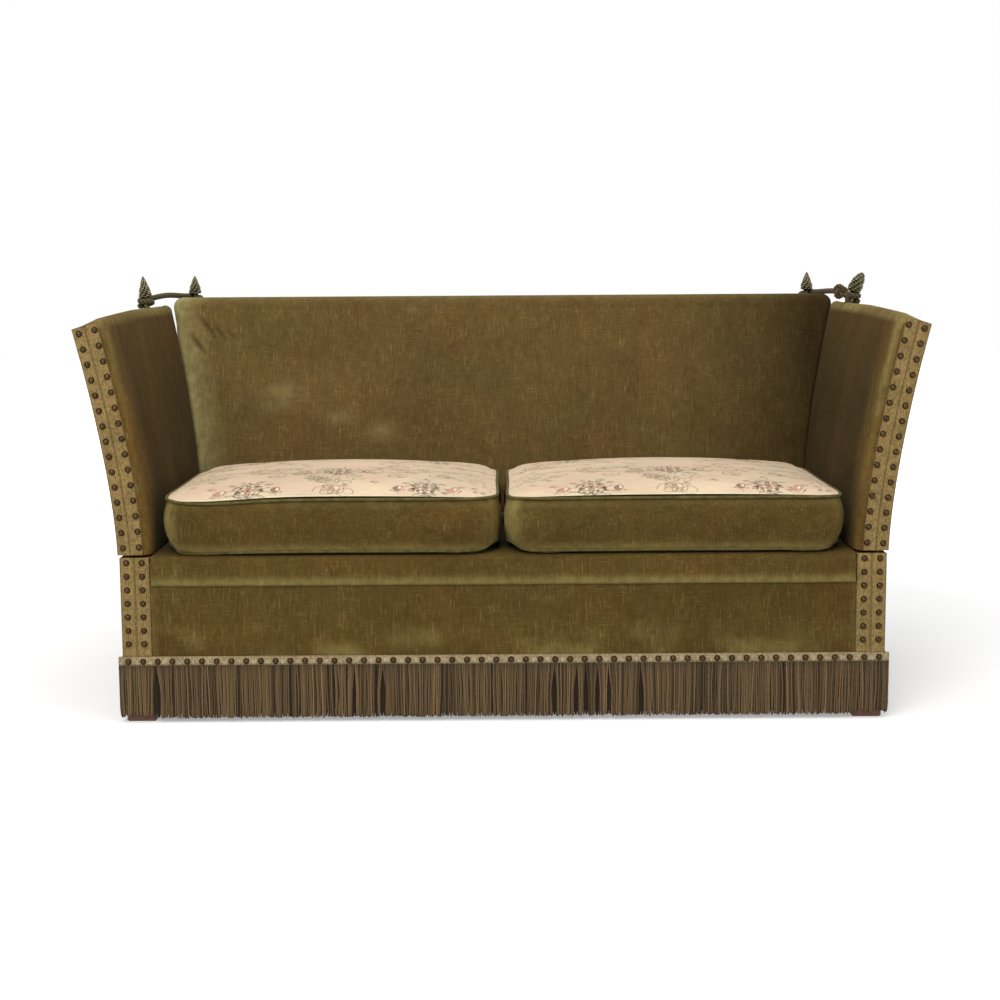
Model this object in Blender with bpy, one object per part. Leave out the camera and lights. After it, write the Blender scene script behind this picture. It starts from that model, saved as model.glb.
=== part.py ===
"""A two-seater drop-arm sofa: box base with a fringe, raked back, flared arms that fold outward
on hinges, finials with tie cords, and two loose cushions. Metres, +Z up, front towards -Y."""

import math

import bmesh
import bpy
import numpy as np
from mathutils import Matrix, Vector

# Clearances shared by all pieces
TOUCH = 0.0003  # left between two pieces that touch
OVERRUN = 0.006  # how far a cutter runs past the faces that it cuts

# The base
BASE_WIDTH = 1.549  # over the side covers
BASE_DEPTH = 0.745  # from the face of the front bands to the rear cover
BASE_TOP = 0.341  # where the arms part from the base
RAIL_FOOT = 0.105  # underside of the rails
RAIL_TOP = 0.325
RAIL_THICKNESS = 0.028
REBATE_WIDTH = 0.012  # ledge in each side rail for the webbing
LEG_WIDTH = 0.060
LEG_CHAMFER = 0.003
COVER_THICKNESS = 0.0027
REAR_COVER_THICKNESS = 0.0067
FRONT_PANEL_THICKNESS = 0.0067
STRETCHER_WIDTH = 0.025
STRETCHER_DEPTH = 0.100
WEBBING_SAG_ROOM = 0.020  # between the stretcher and the webbing
WEBBING_THICKNESS = 0.002
WEBBING_WIDTH = 0.050
SEAT_STRAPS = 9
SEAT_CROSS_STRAPS = 4
DUST_COVER_THICKNESS = 0.0017

# Front lip and seat deck
LIP_HEIGHT = 0.060
LIP_PROUD = 0.002  # in front of the bands
LIP_RUN = 0.100  # how far back the lip reaches over the rail
DECK_TOP = 0.343
DECK_BACK_MARGIN = 0.0003

# Braid bands and fringe
BAND_WIDTH = 0.0605
BAND_THICKNESS = 0.003
BAND_GROOVE = 0.0012
HEADING_TOP = 0.137
HEADING_FOOT = 0.115
FRINGE_FOOT = 0.009
FRINGE_THICKNESS = 0.0078
STRAND_PITCH = 0.015
STRAND_WIDTH = 0.0092

# The back
BACK_RAKE = math.radians(15)
PAD_DEPTH = 0.072
BACK_BULGE = 0.007
BACK_ABOVE_ARM = 0.049  # how far the back's crest rises over the outer top edge of an arm
BACK_CREST_RUN = 0.030  # how far behind its face the back is highest
BACK_CORNER = 0.030
BACK_EDGE = 0.015
BACK_EDGE_SETBACK = 0.018
BACK_REAR_DROP = 0.022  # how far the top cover falls from the crest to the rear
TOP_COVER = 0.0035
BACK_OVER_ARM = 0.0055  # how far the back reaches past the arms' inner faces
BACK_FLANGE = 0.004
OUTER_BACK_THICKNESS = 0.006
POST_WIDTH = 0.045
POST_DEPTH = 0.045
TOP_RAIL_HEIGHT = 0.030
BOTTOM_RAIL_FOOT = 0.360
BOTTOM_RAIL_HEIGHT = 0.060
BACK_STRAPS = 8
BACK_CROSS_STRAPS = 3
BACK_LEVELS = 4

# The arms
ARM_GAP = 0.005  # between the base and the arm, for the hinges
ARM_OVERHANG = 0.0035  # how far the foot of an arm stands out past the base
ARM_RISE = 0.454
ARM_FLARE = 0.0755
ARM_THICKNESS = 0.068
ARM_BACK_GAP = 0.006
ARM_COVER = 0.0057
ARM_BOARD_THICKNESS = 0.028
ARM_TOP_DROP = 0.026  # depth of the padding over the frame's top
ARM_CROWN = 0.018
ARM_FRONT_ROLL = 0.030
PUFF_AT_FRONT_SHARE = 0.55
PUFF_AT_REAR_SHARE = 0.8
CROWN_AT_FRONT_SHARE = 0.4
ARM_TOP_SHARES = ((0.94, 0.6), (0.75, 1.0), (0.36, 1.0), (0.15, 0.45))  # of thickness, of crown
ARM_CROWN_RUN = 0.300
ARM_BAND_WIDTH = 0.052
ARM_LEVEL_SHARES = (0.0, 0.2, 0.4, 0.6, 0.8)

# Hinges
HINGE_LEAF = 0.002
HINGE_LENGTH = 0.060
HINGE_REACH = 0.026
KNUCKLE_RADIUS = 0.0037
PIN_RADIUS = 0.0016
PIN_CLEARANCE = 0.0005
KNUCKLE_GAP = 0.0005
PIN_SIDES = 12
HINGE_INSET = 0.110  # from each end of the arm's foot to the middle of a hinge

# Finials and tie cords
FINIAL_HEIGHTS = {"arm": 0.079, "back": 0.076}
FINIAL_DISC = 0.006
FINIAL_DISC_RADIUS = 0.0130
NECK_RADIUS = 0.0065
BULB_RADIUS = 0.0138
TIP_RADIUS = 0.0016
DOWEL_RADIUS = 0.0045
DOWEL_LENGTH = 0.030
DOWEL_CLEARANCE = 0.0004
SEAT_RECESS = 0.0035  # how deep a finial's disc sinks into the padding
FLAME_LOBES = 4
FLAME_TURNS = 0.75
FLAME_LOBE_SHARE = 0.16
FLAME_SHARES = (  # of the bulb's height, of its radius
    (0.0, 0.86), (0.08, 1.0), (0.2, 0.98), (0.34, 0.82),
    (0.48, 0.66), (0.62, 0.52), (0.76, 0.38), (0.9, 0.24),
)
ARM_FINIAL_INSET = 0.115  # in front of the rear edge of the arm
ARM_FINIAL_INWARDS = {"left": 0.034, "right": 0.046}  # in from the outer face of the arm
BACK_FINIAL_INSET = 0.0446  # in from the end of the back
LEANS = {"left": math.radians(6), "right": math.radians(15)}
CORD_RADIUS = 0.0055
CORD_PITCH = 0.0130
CORD_TURNS = 1
TURN_POINTS = 24
CORD_ARCH = 0.006
CORD_SPLIT_SHARE = 0.54  # of the span, from the arm's finial
CORD_TAIL = 0.012
SPAN_STEPS = 12

# Cushions
CUSHION_SIDE_GAP = 0.026  # to the foot of the arm
CUSHION_SPACING = 0.0215
CUSHION_FRONT = 0.004
CUSHION_BACK_GAP = 0.012
CUSHION_SIDE = 0.112
CUSHION_CROWN = 0.045
CUSHION_BULGE = 0.008
CUSHION_PULL = 0.010  # how far the middle of each side is drawn in
CUSHION_CORNER = 0.014
CUSHION_LEVEL_SHARES = (0.8, 0.5, 0.2)
CROWN_ROUND_SHARE = 0.55
TOP_PANEL_THICKNESS = 0.004

# Places worked out from the sizes above
HALF_BASE = BASE_WIDTH / 2
COVER_BACK = HALF_BASE - COVER_THICKNESS - TOUCH  # outer face of legs and side rails
LEG_INNER = COVER_BACK - LEG_WIDTH
PANEL_FACE = BAND_THICKNESS + TOUCH
FRAME_FRONT = PANEL_FACE + FRONT_PANEL_THICKNESS + TOUCH
FRAME_REAR = BASE_DEPTH - REAR_COVER_THICKNESS - TOUCH
WEBBING_FOOT = RAIL_TOP + TOUCH
WEBBING_TOP = WEBBING_FOOT + WEBBING_THICKNESS
ARM_FOOT_HALF = HALF_BASE + ARM_OVERHANG
ARM_FOOT = BASE_TOP + ARM_GAP
AXIS_HEIGHT = BASE_TOP + ARM_GAP / 2
AXIS_HALF = ARM_FOOT_HALF + KNUCKLE_RADIUS + TOUCH
BACK_STACK = PAD_DEPTH + WEBBING_THICKNESS + 2 * TOUCH + POST_DEPTH
BACK_FACE_AT_SPLIT = FRAME_REAR - BACK_STACK  # depth of the inside back at the top of the base
BACK_CREST = ARM_FOOT + ARM_RISE + BACK_ABOVE_ARM
BACK_REAR_TOP = BACK_CREST - BACK_REAR_DROP
CUSHION_WIDTH = ARM_FOOT_HALF - ARM_THICKNESS - CUSHION_SIDE_GAP - CUSHION_SPACING / 2
CUSHION_DEPTH = BACK_FACE_AT_SPLIT - CUSHION_BACK_GAP - CUSHION_FRONT
REAR_MOST = (
    BACK_FACE_AT_SPLIT
    + (BACK_REAR_TOP - BASE_TOP) * math.tan(BACK_RAKE)
    + BACK_STACK
    + TOUCH
    + OUTER_BACK_THICKNESS
)
FRONT_MOST = PANEL_FACE - TOUCH - FRINGE_THICKNESS
MIDDLE = (REAR_MOST + FRONT_MOST) / 2
SIDES = {"left": -1, "right": 1}


def clear_scene():
    for old in list(bpy.data.objects):
        bpy.data.objects.remove(old, do_unlink=True)


def material(name, colour, roughness, metallic=0.0):
    made = bpy.data.materials.new(name)
    made.use_nodes = True
    shader = made.node_tree.nodes["Principled BSDF"]
    shader.inputs["Base Color"].default_value = (*colour, 1.0)
    shader.inputs["Roughness"].default_value = roughness
    shader.inputs["Metallic"].default_value = metallic
    made.diffuse_color = (*colour, 1.0)
    return made


def place(x, depth, height):
    """A point from its distance to the right, behind the front bands and above the floor."""
    return Vector((x, depth - MIDDLE, height))


def empty(name, point):
    made = bpy.data.objects.new(name, None)
    made.location = point
    bpy.context.scene.collection.objects.link(made)
    return made


def solid(name, mesh, finish, parent=None, smooth=None):
    """Makes an object of a bmesh given in world coordinates, with its origin on its parent."""
    bmesh.ops.recalc_face_normals(mesh, faces=mesh.faces)
    if parent:
        mesh.transform(Matrix.Translation(-parent.location))
    data = bpy.data.meshes.new(name)
    mesh.to_mesh(data)
    mesh.free()
    data.materials.append(finish)
    made = bpy.data.objects.new(name, data)
    made.parent = parent
    bpy.context.scene.collection.objects.link(made)
    if smooth:
        data.shade_smooth()
        data.set_sharp_from_angle(angle=smooth)
    return made


def loft(rings):
    """A closed body through rings that have the same number of points, with a face on each end."""
    mesh = bmesh.new()
    made = [[mesh.verts.new(point) for point in ring] for ring in rings]
    count = len(made[0])
    for first, second in zip(made, made[1:]):
        for i in range(count):
            j = (i + 1) % count
            mesh.faces.new((first[i], first[j], second[j], second[i]))
    mesh.faces.new(made[0])
    mesh.faces.new(made[-1])
    return mesh


def box(low, high):
    (x0, d0, z0), (x1, d1, z1) = low, high
    corners = ((x0, d0), (x1, d0), (x1, d1), (x0, d1))
    return loft([[place(x, d, z) for x, d in corners] for z in (z0, z1)])


def bevelled(made, width):
    bevel = made.modifiers.new("edges", "BEVEL")
    bevel.width = width
    bevel.segments = 1
    return made


def cut(made, cutter_mesh, name):
    """Cuts a shape, given in world coordinates, out of an object."""
    bmesh.ops.recalc_face_normals(cutter_mesh, faces=cutter_mesh.faces)
    data = bpy.data.meshes.new(name)
    cutter_mesh.to_mesh(data)
    cutter_mesh.free()
    cutter = bpy.data.objects.new(name, data)
    cutter.hide_render = True
    cutter.display_type = "WIRE"
    bpy.context.scene.collection.objects.link(cutter)
    change = made.modifiers.new(name, "BOOLEAN")
    change.operation = "DIFFERENCE"
    change.object = cutter
    return made


def joined(made, other_mesh, name):
    """Adds a shape, given in world coordinates, to an object."""
    cut(made, other_mesh, name)
    made.modifiers[-1].operation = "UNION"
    return made


def turned(profile, sides, frame):
    """A body of revolution about the frame's Z from (radius, height) points."""
    rings = []
    for radius, height in profile:
        turns = [2 * math.pi * i / sides for i in range(sides)]
        rings.append(
            [frame @ Vector((radius * math.cos(a), radius * math.sin(a), height)) for a in turns]
        )
    return loft(rings)


def quarter(count):
    """Shares along and across a quarter circle, from (0, 0) to (1, 1)."""
    angles = [math.pi / 2 * i / count for i in range(count + 1)]
    return [(1 - math.cos(a), math.sin(a)) for a in angles]


# Shape of the back and the arms


def rake_run(height):
    return (height - BASE_TOP) * math.tan(BACK_RAKE)


def back_face(height):
    """Depth of the inside back's flat face at a height."""
    return BACK_FACE_AT_SPLIT + rake_run(height)


def post_front(height):
    return back_face(height) + PAD_DEPTH + WEBBING_THICKNESS + 2 * TOUCH


def flare(rise_share):
    """How far the arm has curved outward, which grows faster towards its top."""
    share = max(rise_share, 0)
    return ARM_FLARE * share * math.sqrt(share)


def arm_lean(rise_share):
    return math.atan(ARM_FLARE / ARM_RISE * 3 / 2 * math.sqrt(max(rise_share, 0)))


def arm_point(side, depth, rise_share, inward, up=0.0):
    """A point of an arm: a share of its rise, a distance in from its outer face, and up its top."""
    lean = arm_lean(rise_share)
    x = ARM_FOOT_HALF + flare(rise_share) - inward * math.cos(lean) + up * math.sin(lean)
    z = ARM_FOOT + rise_share * ARM_RISE + inward * math.sin(lean) + up * math.cos(lean)
    return place(side * x, depth, z)


def back_half(height):
    """Half of the back's width at a height, rounded off at its top corners."""
    share = (height - ARM_FOOT) / ARM_RISE
    half = ARM_FOOT_HALF + flare(share) - ARM_THICKNESS / math.cos(arm_lean(share))
    half += BACK_OVER_ARM
    into_corner = height - (BACK_CREST - BACK_CORNER)
    if into_corner > 0:
        half -= BACK_CORNER - math.sqrt(max(BACK_CORNER**2 - into_corner**2, 0))
    return half


def arm_rear(height):
    return back_face(height) - ARM_BACK_GAP


def rear_edge(point):
    """Moves a point back to the plane of the arm's rear edge."""
    return Vector((point.x, arm_rear(point.z) - MIDDLE, point.z))


# The base


def make_legs(wood):
    depths = {"front": FRAME_FRONT, "rear": FRAME_REAR - LEG_WIDTH}
    for end, depth in depths.items():
        for side, sign in SIDES.items():
            low, high = sorted((sign * LEG_INNER, sign * COVER_BACK))
            shape = box((low, depth, 0), (high, depth + LEG_WIDTH, BASE_TOP - TOUCH))
            bevelled(solid(f"leg_{end}_{side}", shape, wood), LEG_CHAMFER)


def make_rails(wood):
    half = LEG_INNER - TOUCH
    front = box(
        (-half, FRAME_FRONT, RAIL_FOOT),
        (half, FRAME_FRONT + RAIL_THICKNESS, RAIL_TOP),
    )
    solid("seat_rail_front", front, wood)
    half = LEG_INNER - POST_WIDTH - 2 * TOUCH
    rear = box((-half, FRAME_REAR - RAIL_THICKNESS, RAIL_FOOT), (half, FRAME_REAR, RAIL_TOP))
    solid("seat_rail_rear", rear, wood)
    inner = COVER_BACK - RAIL_THICKNESS
    outline = (
        (inner, RAIL_FOOT),
        (COVER_BACK, RAIL_FOOT),
        (COVER_BACK, BASE_TOP - TOUCH),
        (inner + REBATE_WIDTH, BASE_TOP - TOUCH),
        (inner + REBATE_WIDTH, RAIL_TOP),
        (inner, RAIL_TOP),
    )
    ends = (FRAME_FRONT + LEG_WIDTH + TOUCH, FRAME_REAR - LEG_WIDTH - TOUCH)
    for side, sign in SIDES.items():
        rings = [[place(sign * x, d, z) for x, z in outline] for d in ends]
        solid(f"seat_rail_{side}", loft(rings), wood)
    top = RAIL_TOP - WEBBING_SAG_ROOM
    stretcher = box(
        (-STRETCHER_WIDTH / 2, FRAME_FRONT + RAIL_THICKNESS + TOUCH, top - STRETCHER_DEPTH),
        (STRETCHER_WIDTH / 2, FRAME_REAR - RAIL_THICKNESS - TOUCH, top),
    )
    solid("seat_stretcher", stretcher, wood)


def strap_edges(low, high, count, width):
    """Both ends of a span and the edges of the straps spread evenly over it."""
    pitch = (high - low) / count
    edges = [low]
    for i in range(count):
        middle = low + pitch * (i + 1 / 2)
        edges += [middle - width / 2, middle + width / 2]
    return edges + [high]


def lattice(columns, rows, to_world, thickness):
    """Woven straps as one sheet with holes, from the edges of the straps both ways."""
    mesh = bmesh.new()
    grid = [[mesh.verts.new(to_world(x, y)) for y in rows] for x in columns]
    for i in range(len(columns) - 1):
        for j in range(len(rows) - 1):
            if i % 2 or j % 2:
                corners = (grid[i][j], grid[i + 1][j], grid[i + 1][j + 1], grid[i][j + 1])
                mesh.faces.new(corners)
    loose = [vert for vert in mesh.verts if not vert.link_faces]
    bmesh.ops.delete(mesh, geom=loose, context="VERTS")
    top = bmesh.ops.extrude_face_region(mesh, geom=mesh.faces[:])
    moved = [item for item in top["geom"] if isinstance(item, bmesh.types.BMVert)]
    bmesh.ops.translate(mesh, verts=moved, vec=thickness)
    return mesh


def make_seat_webbing(jute):
    strap_half = LEG_INNER - POST_WIDTH - 2 * TOUCH
    ledge = COVER_BACK - RAIL_THICKNESS + REBATE_WIDTH - TOUCH
    columns = strap_edges(-strap_half, strap_half, SEAT_STRAPS, WEBBING_WIDTH)
    columns[0], columns[-1] = -ledge, ledge
    rows = strap_edges(FRAME_FRONT, FRAME_REAR, SEAT_CROSS_STRAPS, WEBBING_WIDTH)
    mesh = lattice(
        columns,
        rows,
        lambda x, depth: place(x, depth, WEBBING_FOOT),
        Vector((0, 0, WEBBING_THICKNESS)),
    )
    solid("seat_webbing", mesh, jute)


def make_deck(cloth):
    half = COVER_BACK - RAIL_THICKNESS + REBATE_WIDTH - TOUCH
    shape = box(
        (-half, LIP_RUN + TOUCH, WEBBING_TOP + TOUCH),
        (half, FRAME_REAR - LEG_WIDTH - DECK_BACK_MARGIN, DECK_TOP),
    )
    solid("seat_deck", shape, cloth)


def make_lip(velvet):
    foot = BASE_TOP - LIP_HEIGHT
    roll = FRAME_FRONT - TOUCH + LIP_PROUD
    outline = [(PANEL_FACE - TOUCH, foot)]
    outline += [
        (PANEL_FACE - TOUCH - (PANEL_FACE - TOUCH + LIP_PROUD) * across, foot + roll * along)
        for along, across in quarter(2)
    ][1:]
    outline += [
        (-LIP_PROUD + roll * along, DECK_TOP - roll + roll * across)
        for along, across in quarter(4)
    ]
    outline += [
        (LIP_RUN, DECK_TOP),
        (LIP_RUN, WEBBING_TOP + TOUCH),
        (PANEL_FACE - TOUCH, WEBBING_TOP + TOUCH),
    ]
    half = LEG_INNER - TOUCH
    solid("front_lip", loft([[place(x, d, z) for d, z in outline] for x in (-half, half)]), velvet)


def make_covers(velvet, cloth):
    front = box(
        (-HALF_BASE + COVER_THICKNESS + TOUCH, PANEL_FACE, RAIL_FOOT),
        (HALF_BASE - COVER_THICKNESS - TOUCH, PANEL_FACE + FRONT_PANEL_THICKNESS, WEBBING_TOP),
    )
    solid("front_panel", front, velvet)
    for side, sign in SIDES.items():
        low, high = sorted((sign * (COVER_BACK + TOUCH), sign * HALF_BASE))
        shape = box((low, PANEL_FACE, RAIL_FOOT), (high, BASE_DEPTH, BASE_TOP - TOUCH))
        solid(f"side_cover_{side}", shape, velvet)
    rear = box(
        (-COVER_BACK, FRAME_REAR + TOUCH, RAIL_FOOT),
        (COVER_BACK, BASE_DEPTH, BASE_TOP - TOUCH),
    )
    solid("rear_cover", rear, velvet)
    inner = LEG_INNER - TOUCH
    front_in = FRAME_FRONT + LEG_WIDTH + TOUCH
    rear_in = FRAME_REAR - LEG_WIDTH - TOUCH
    outline = (
        (-inner, FRAME_FRONT), (inner, FRAME_FRONT), (inner, front_in), (COVER_BACK, front_in),
        (COVER_BACK, rear_in), (inner, rear_in), (inner, FRAME_REAR), (-inner, FRAME_REAR),
        (-inner, rear_in), (-COVER_BACK, rear_in), (-COVER_BACK, front_in), (-inner, front_in),
    )
    top = RAIL_FOOT - TOUCH
    levels = (top - DUST_COVER_THICKNESS, top)
    solid("dust_cover", loft([[place(x, d, z) for x, d in outline] for z in levels]), cloth)


def band_section(width):
    """Two braids side by side, as (across, proud) points of one closed outline."""
    low = BAND_THICKNESS - BAND_GROOVE
    braid = width / 2
    edge = BAND_GROOVE
    outline = [(0.0, 0.0)]
    for start in (0.0, braid):
        outline += [(start, low), (start + edge, BAND_THICKNESS)]
        outline += [(start + braid - edge, BAND_THICKNESS)]
    return outline + [(width, low), (width, 0.0)]


def make_base_bands(braid):
    for side, sign in SIDES.items():
        outline = band_section(BAND_WIDTH)
        rings = [
            [
                place(sign * (HALF_BASE - across), BAND_THICKNESS - proud, z)
                for across, proud in outline
            ]
            for z in (HEADING_TOP + TOUCH, BASE_TOP - TOUCH)
        ]
        solid(f"base_band_{side}", loft(rings), braid)


def comb(low, high, to_world):
    """A heading with strands that hang from it, from low to high along its length."""
    count = int((high - low) / STRAND_PITCH)
    pitch = (high - low) / count
    outline = [(low, HEADING_TOP), (low, HEADING_FOOT)]
    for i in range(count):
        start = low + pitch * i + (pitch - STRAND_WIDTH) / 2
        end = start + STRAND_WIDTH
        outline += [(start, HEADING_FOOT), (start, FRINGE_FOOT)]
        outline += [(end, FRINGE_FOOT), (end, HEADING_FOOT)]
    outline += [(high, HEADING_FOOT), (high, HEADING_TOP)]
    return loft([[to_world(a, out, z) for a, z in outline] for out in (0.0, FRINGE_THICKNESS)])


def make_fringe(fringe):
    half = HALF_BASE + TOUCH + FRINGE_THICKNESS
    front = comb(-half, half, lambda a, out, z: place(a, PANEL_FACE - TOUCH - out, z))
    solid("fringe_front", front, fringe)
    rear = comb(-half, half, lambda a, out, z: place(a, BASE_DEPTH + TOUCH + out, z))
    solid("fringe_rear", rear, fringe)
    for side, sign in SIDES.items():
        shape = comb(
            PANEL_FACE,
            BASE_DEPTH,
            lambda a, out, z, sign=sign: place(sign * (HALF_BASE + TOUCH + out), a, z),
        )
        solid(f"fringe_{side}", shape, fringe)


# The back


def post_outer(height):
    return back_half(height) - BACK_FLANGE - TOUCH


def back_levels():
    """Heights at which the posts and the cover behind them bend, so that they stay parallel."""
    low, high = BASE_TOP, BACK_REAR_TOP - TOP_COVER - TOP_RAIL_HEIGHT - TOUCH
    return [low + (high - low) * i / BACK_LEVELS for i in range(BACK_LEVELS + 1)]


def rail_ring(half, height):
    """The outline of a back rail at a height."""
    front = post_front(height)
    rear = front + POST_DEPTH
    corners = ((-half, front), (half, front), (half, rear), (-half, rear))
    return [place(x, d, height) for x, d in corners]


def make_back_frame(wood):
    top_rail_foot = BACK_REAR_TOP - TOP_COVER - TOP_RAIL_HEIGHT
    bend = BASE_TOP
    for side, sign in SIDES.items():
        rings = []
        low_outer = min(LEG_INNER - TOUCH, post_outer(bend))
        for z in [RAIL_FOOT] + back_levels():
            outer = low_outer if z <= bend else post_outer(z)
            front = post_front(max(z, bend))
            corners = (
                (outer - POST_WIDTH, front), (outer, front),
                (outer, front + POST_DEPTH), (outer - POST_WIDTH, front + POST_DEPTH),
            )
            rings.append([place(sign * x, d, z) for x, d in corners])
        solid(f"back_post_{side}", loft(rings), wood)
    rings = []
    for z in (top_rail_foot, top_rail_foot + TOP_RAIL_HEIGHT):
        rings.append(rail_ring(post_outer(z), z))
    solid("back_top_rail", loft(rings), wood)
    rings = []
    for z in (BOTTOM_RAIL_FOOT, BOTTOM_RAIL_FOOT + BOTTOM_RAIL_HEIGHT):
        rings.append(rail_ring(post_outer(z) - POST_WIDTH - TOUCH, z))
    solid("back_bottom_rail", loft(rings), wood)


def make_back_webbing(jute):
    low, high = BOTTOM_RAIL_FOOT, BACK_REAR_TOP - TOP_COVER - TOUCH
    width_share = WEBBING_WIDTH / post_outer((low + high) / 2)

    def at(half_share, height):
        half = post_outer(height) - TOUCH
        return place(half_share * half, post_front(height) - TOUCH - WEBBING_THICKNESS, height)

    mesh = lattice(
        strap_edges(-1, 1, BACK_STRAPS, width_share),
        strap_edges(low, high, BACK_CROSS_STRAPS, WEBBING_WIDTH),
        at,
        Vector((0, WEBBING_THICKNESS, 0)),
    )
    solid("back_webbing", mesh, jute)


def back_outline(puff_share):
    """Depth and height of the padded inside back, up its face, over its crest and down behind."""
    foot = DECK_TOP + TOUCH
    shoulder = BACK_CREST - BACK_CREST_RUN
    outline = [(back_face(foot) + PAD_DEPTH, foot), (back_face(foot) + TOUCH, foot)]
    levels = 5
    for i in range(1, levels):
        share = i / levels
        height = foot + (shoulder - foot) * share
        bulge = BACK_BULGE * math.sin(math.pi * share) ** 0.5 * puff_share
        outline.append((back_face(height) - bulge, height))
    for along, across in quarter(4):
        outline.append(
            (back_face(shoulder) + BACK_CREST_RUN * along, shoulder + BACK_CREST_RUN * across)
        )
    rear = post_front(BACK_REAR_TOP) + POST_DEPTH
    crest = back_face(shoulder) + BACK_CREST_RUN
    outline.append((crest + (rear - crest) / 2, BACK_REAR_TOP + (BACK_CREST - BACK_REAR_TOP) / 4))
    outline.append((rear, BACK_REAR_TOP))
    under = BACK_REAR_TOP - TOP_COVER + TOUCH
    outline.append((rear, under))
    outline.append((back_face(under) + PAD_DEPTH, under))
    return outline


def make_back_pad(velvet):
    """Lofted from side to side, with its front edges rounded at both ends."""
    ends = []
    for along, across in quarter(3):
        ring = []
        for depth, height in back_outline(across):
            in_front = depth < back_face(height) + PAD_DEPTH / 2
            setback = BACK_EDGE_SETBACK * (1 - across) if in_front else 0.0
            ring.append((back_half(height) - BACK_EDGE * along, depth + setback, height))
        ends.append(ring)
    left = [[place(-x, d, z) for x, d, z in ring] for ring in ends]
    right = [[place(x, d, z) for x, d, z in ring] for ring in reversed(ends)]
    solid("back_pad", loft(left + right), velvet, smooth=math.radians(40))


def make_outer_back(velvet):
    top = BACK_REAR_TOP - TOP_COVER
    rings = []
    for z in back_levels() + [top]:
        half = back_half(z)
        rear = post_front(z) + POST_DEPTH + TOUCH
        front = back_face(z) + PAD_DEPTH + TOUCH
        if z < DECK_TOP:
            front = post_front(z)
        corners = (
            (-half, front), (-half, rear + OUTER_BACK_THICKNESS - TOUCH),
            (half, rear + OUTER_BACK_THICKNESS - TOUCH), (half, front),
            (half - BACK_FLANGE, front), (half - BACK_FLANGE, rear),
            (-half + BACK_FLANGE, rear), (-half + BACK_FLANGE, front),
        )
        rings.append([place(x, d, z) for x, d in corners])
    solid("outer_back", loft(rings), velvet)


# The arms


def arm_levels(foot_share, top_share):
    """The levels at which all pieces of an arm bend, so that their faces stay parallel."""
    between = [share for share in ARM_LEVEL_SHARES if foot_share < share < top_share]
    return [foot_share] + between + [top_share]


def slab(side, near, far, foot_share, top_share, front):
    """A curved board of an arm between two distances from its outer face."""
    rings = []
    for share in arm_levels(foot_share, top_share):
        ring = [arm_point(side, front, share, near), arm_point(side, front, share, far)]
        rings.append(ring + [rear_edge(point) for point in reversed(ring)])
    return loft(rings)


def arm_pad_outline(crown_share, puff_share):
    """(rise share, inward, up) points round the padding, which hooks over the frame's top."""
    back = ARM_COVER + ARM_BOARD_THICKNESS + 2 * TOUCH
    face = back + (ARM_THICKNESS - back) * puff_share
    top_share = 1 - ARM_TOP_DROP / ARM_RISE
    crown = ARM_CROWN * crown_share
    levels = arm_levels(0.0, top_share)
    outline = [(share, face, 0.0) for share in levels]
    outline += [
        (1.0, face, 0.0),
        *((1.0, face * inward, crown * up) for inward, up in ARM_TOP_SHARES),
        (1.0, 0.0, 0.0),
        (top_share, 0.0, 0.0),
    ]
    return outline + [(share, back, 0.0) for share in reversed(levels)]


def make_arm_pad(side, sign, pivot, velvet):
    rings = []
    for along, across in quarter(3):
        depth = BAND_THICKNESS + TOUCH + ARM_FRONT_ROLL * along
        puff = PUFF_AT_FRONT_SHARE + (1 - PUFF_AT_FRONT_SHARE) * across
        crown = CROWN_AT_FRONT_SHARE * (across + (1 - across) * CROWN_AT_FRONT_SHARE)
        outline = arm_pad_outline(crown, puff)
        rings.append([arm_point(sign, depth, *point) for point in outline])
    for share in (1 / 2, 1.0):
        outline = arm_pad_outline(share + (1 - share) * CROWN_AT_FRONT_SHARE, 1.0)
        depth = ARM_CROWN_RUN * share
        rings.append([arm_point(sign, depth, *point) for point in outline])
    for puff, setback in ((1.0, ARM_FRONT_ROLL / 2), (PUFF_AT_REAR_SHARE, 0.0)):
        outline = arm_pad_outline(puff, puff)
        ring = [rear_edge(arm_point(sign, 0.0, *point)) for point in outline]
        for point in ring:
            point.y -= setback
        rings.append(ring)
    return solid(f"arm_{side}_pad", loft(rings), velvet, pivot, smooth=math.radians(40))


def make_arm_band(side, sign, pivot, braid):
    outline = band_section(ARM_BAND_WIDTH)
    rings = []
    for share in arm_levels(0.0, 1.0):
        rings.append(
            [
                arm_point(sign, BAND_THICKNESS - proud, share, across)
                for across, proud in outline
            ]
        )
    solid(f"arm_{side}_front_band", loft(rings), braid, pivot)


def finial_frame(side, sign, where):
    """Where a finial stands: its base on the padding, its Z up its own axis."""
    if where == "arm":
        depth = arm_rear(ARM_FOOT + ARM_RISE) - ARM_FINIAL_INSET
        seat = arm_point(sign, depth, 1.0, ARM_FINIAL_INWARDS[side], ARM_CROWN - SEAT_RECESS)
        lean = Matrix.Rotation(sign * LEANS[side], 4, "Y")
        return Matrix.Translation(seat) @ lean
    height = BACK_REAR_TOP
    depth = post_front(height) + POST_DEPTH / 2
    return Matrix.Translation(place(sign * (back_half(height) - BACK_FINIAL_INSET), depth, height))


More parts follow.
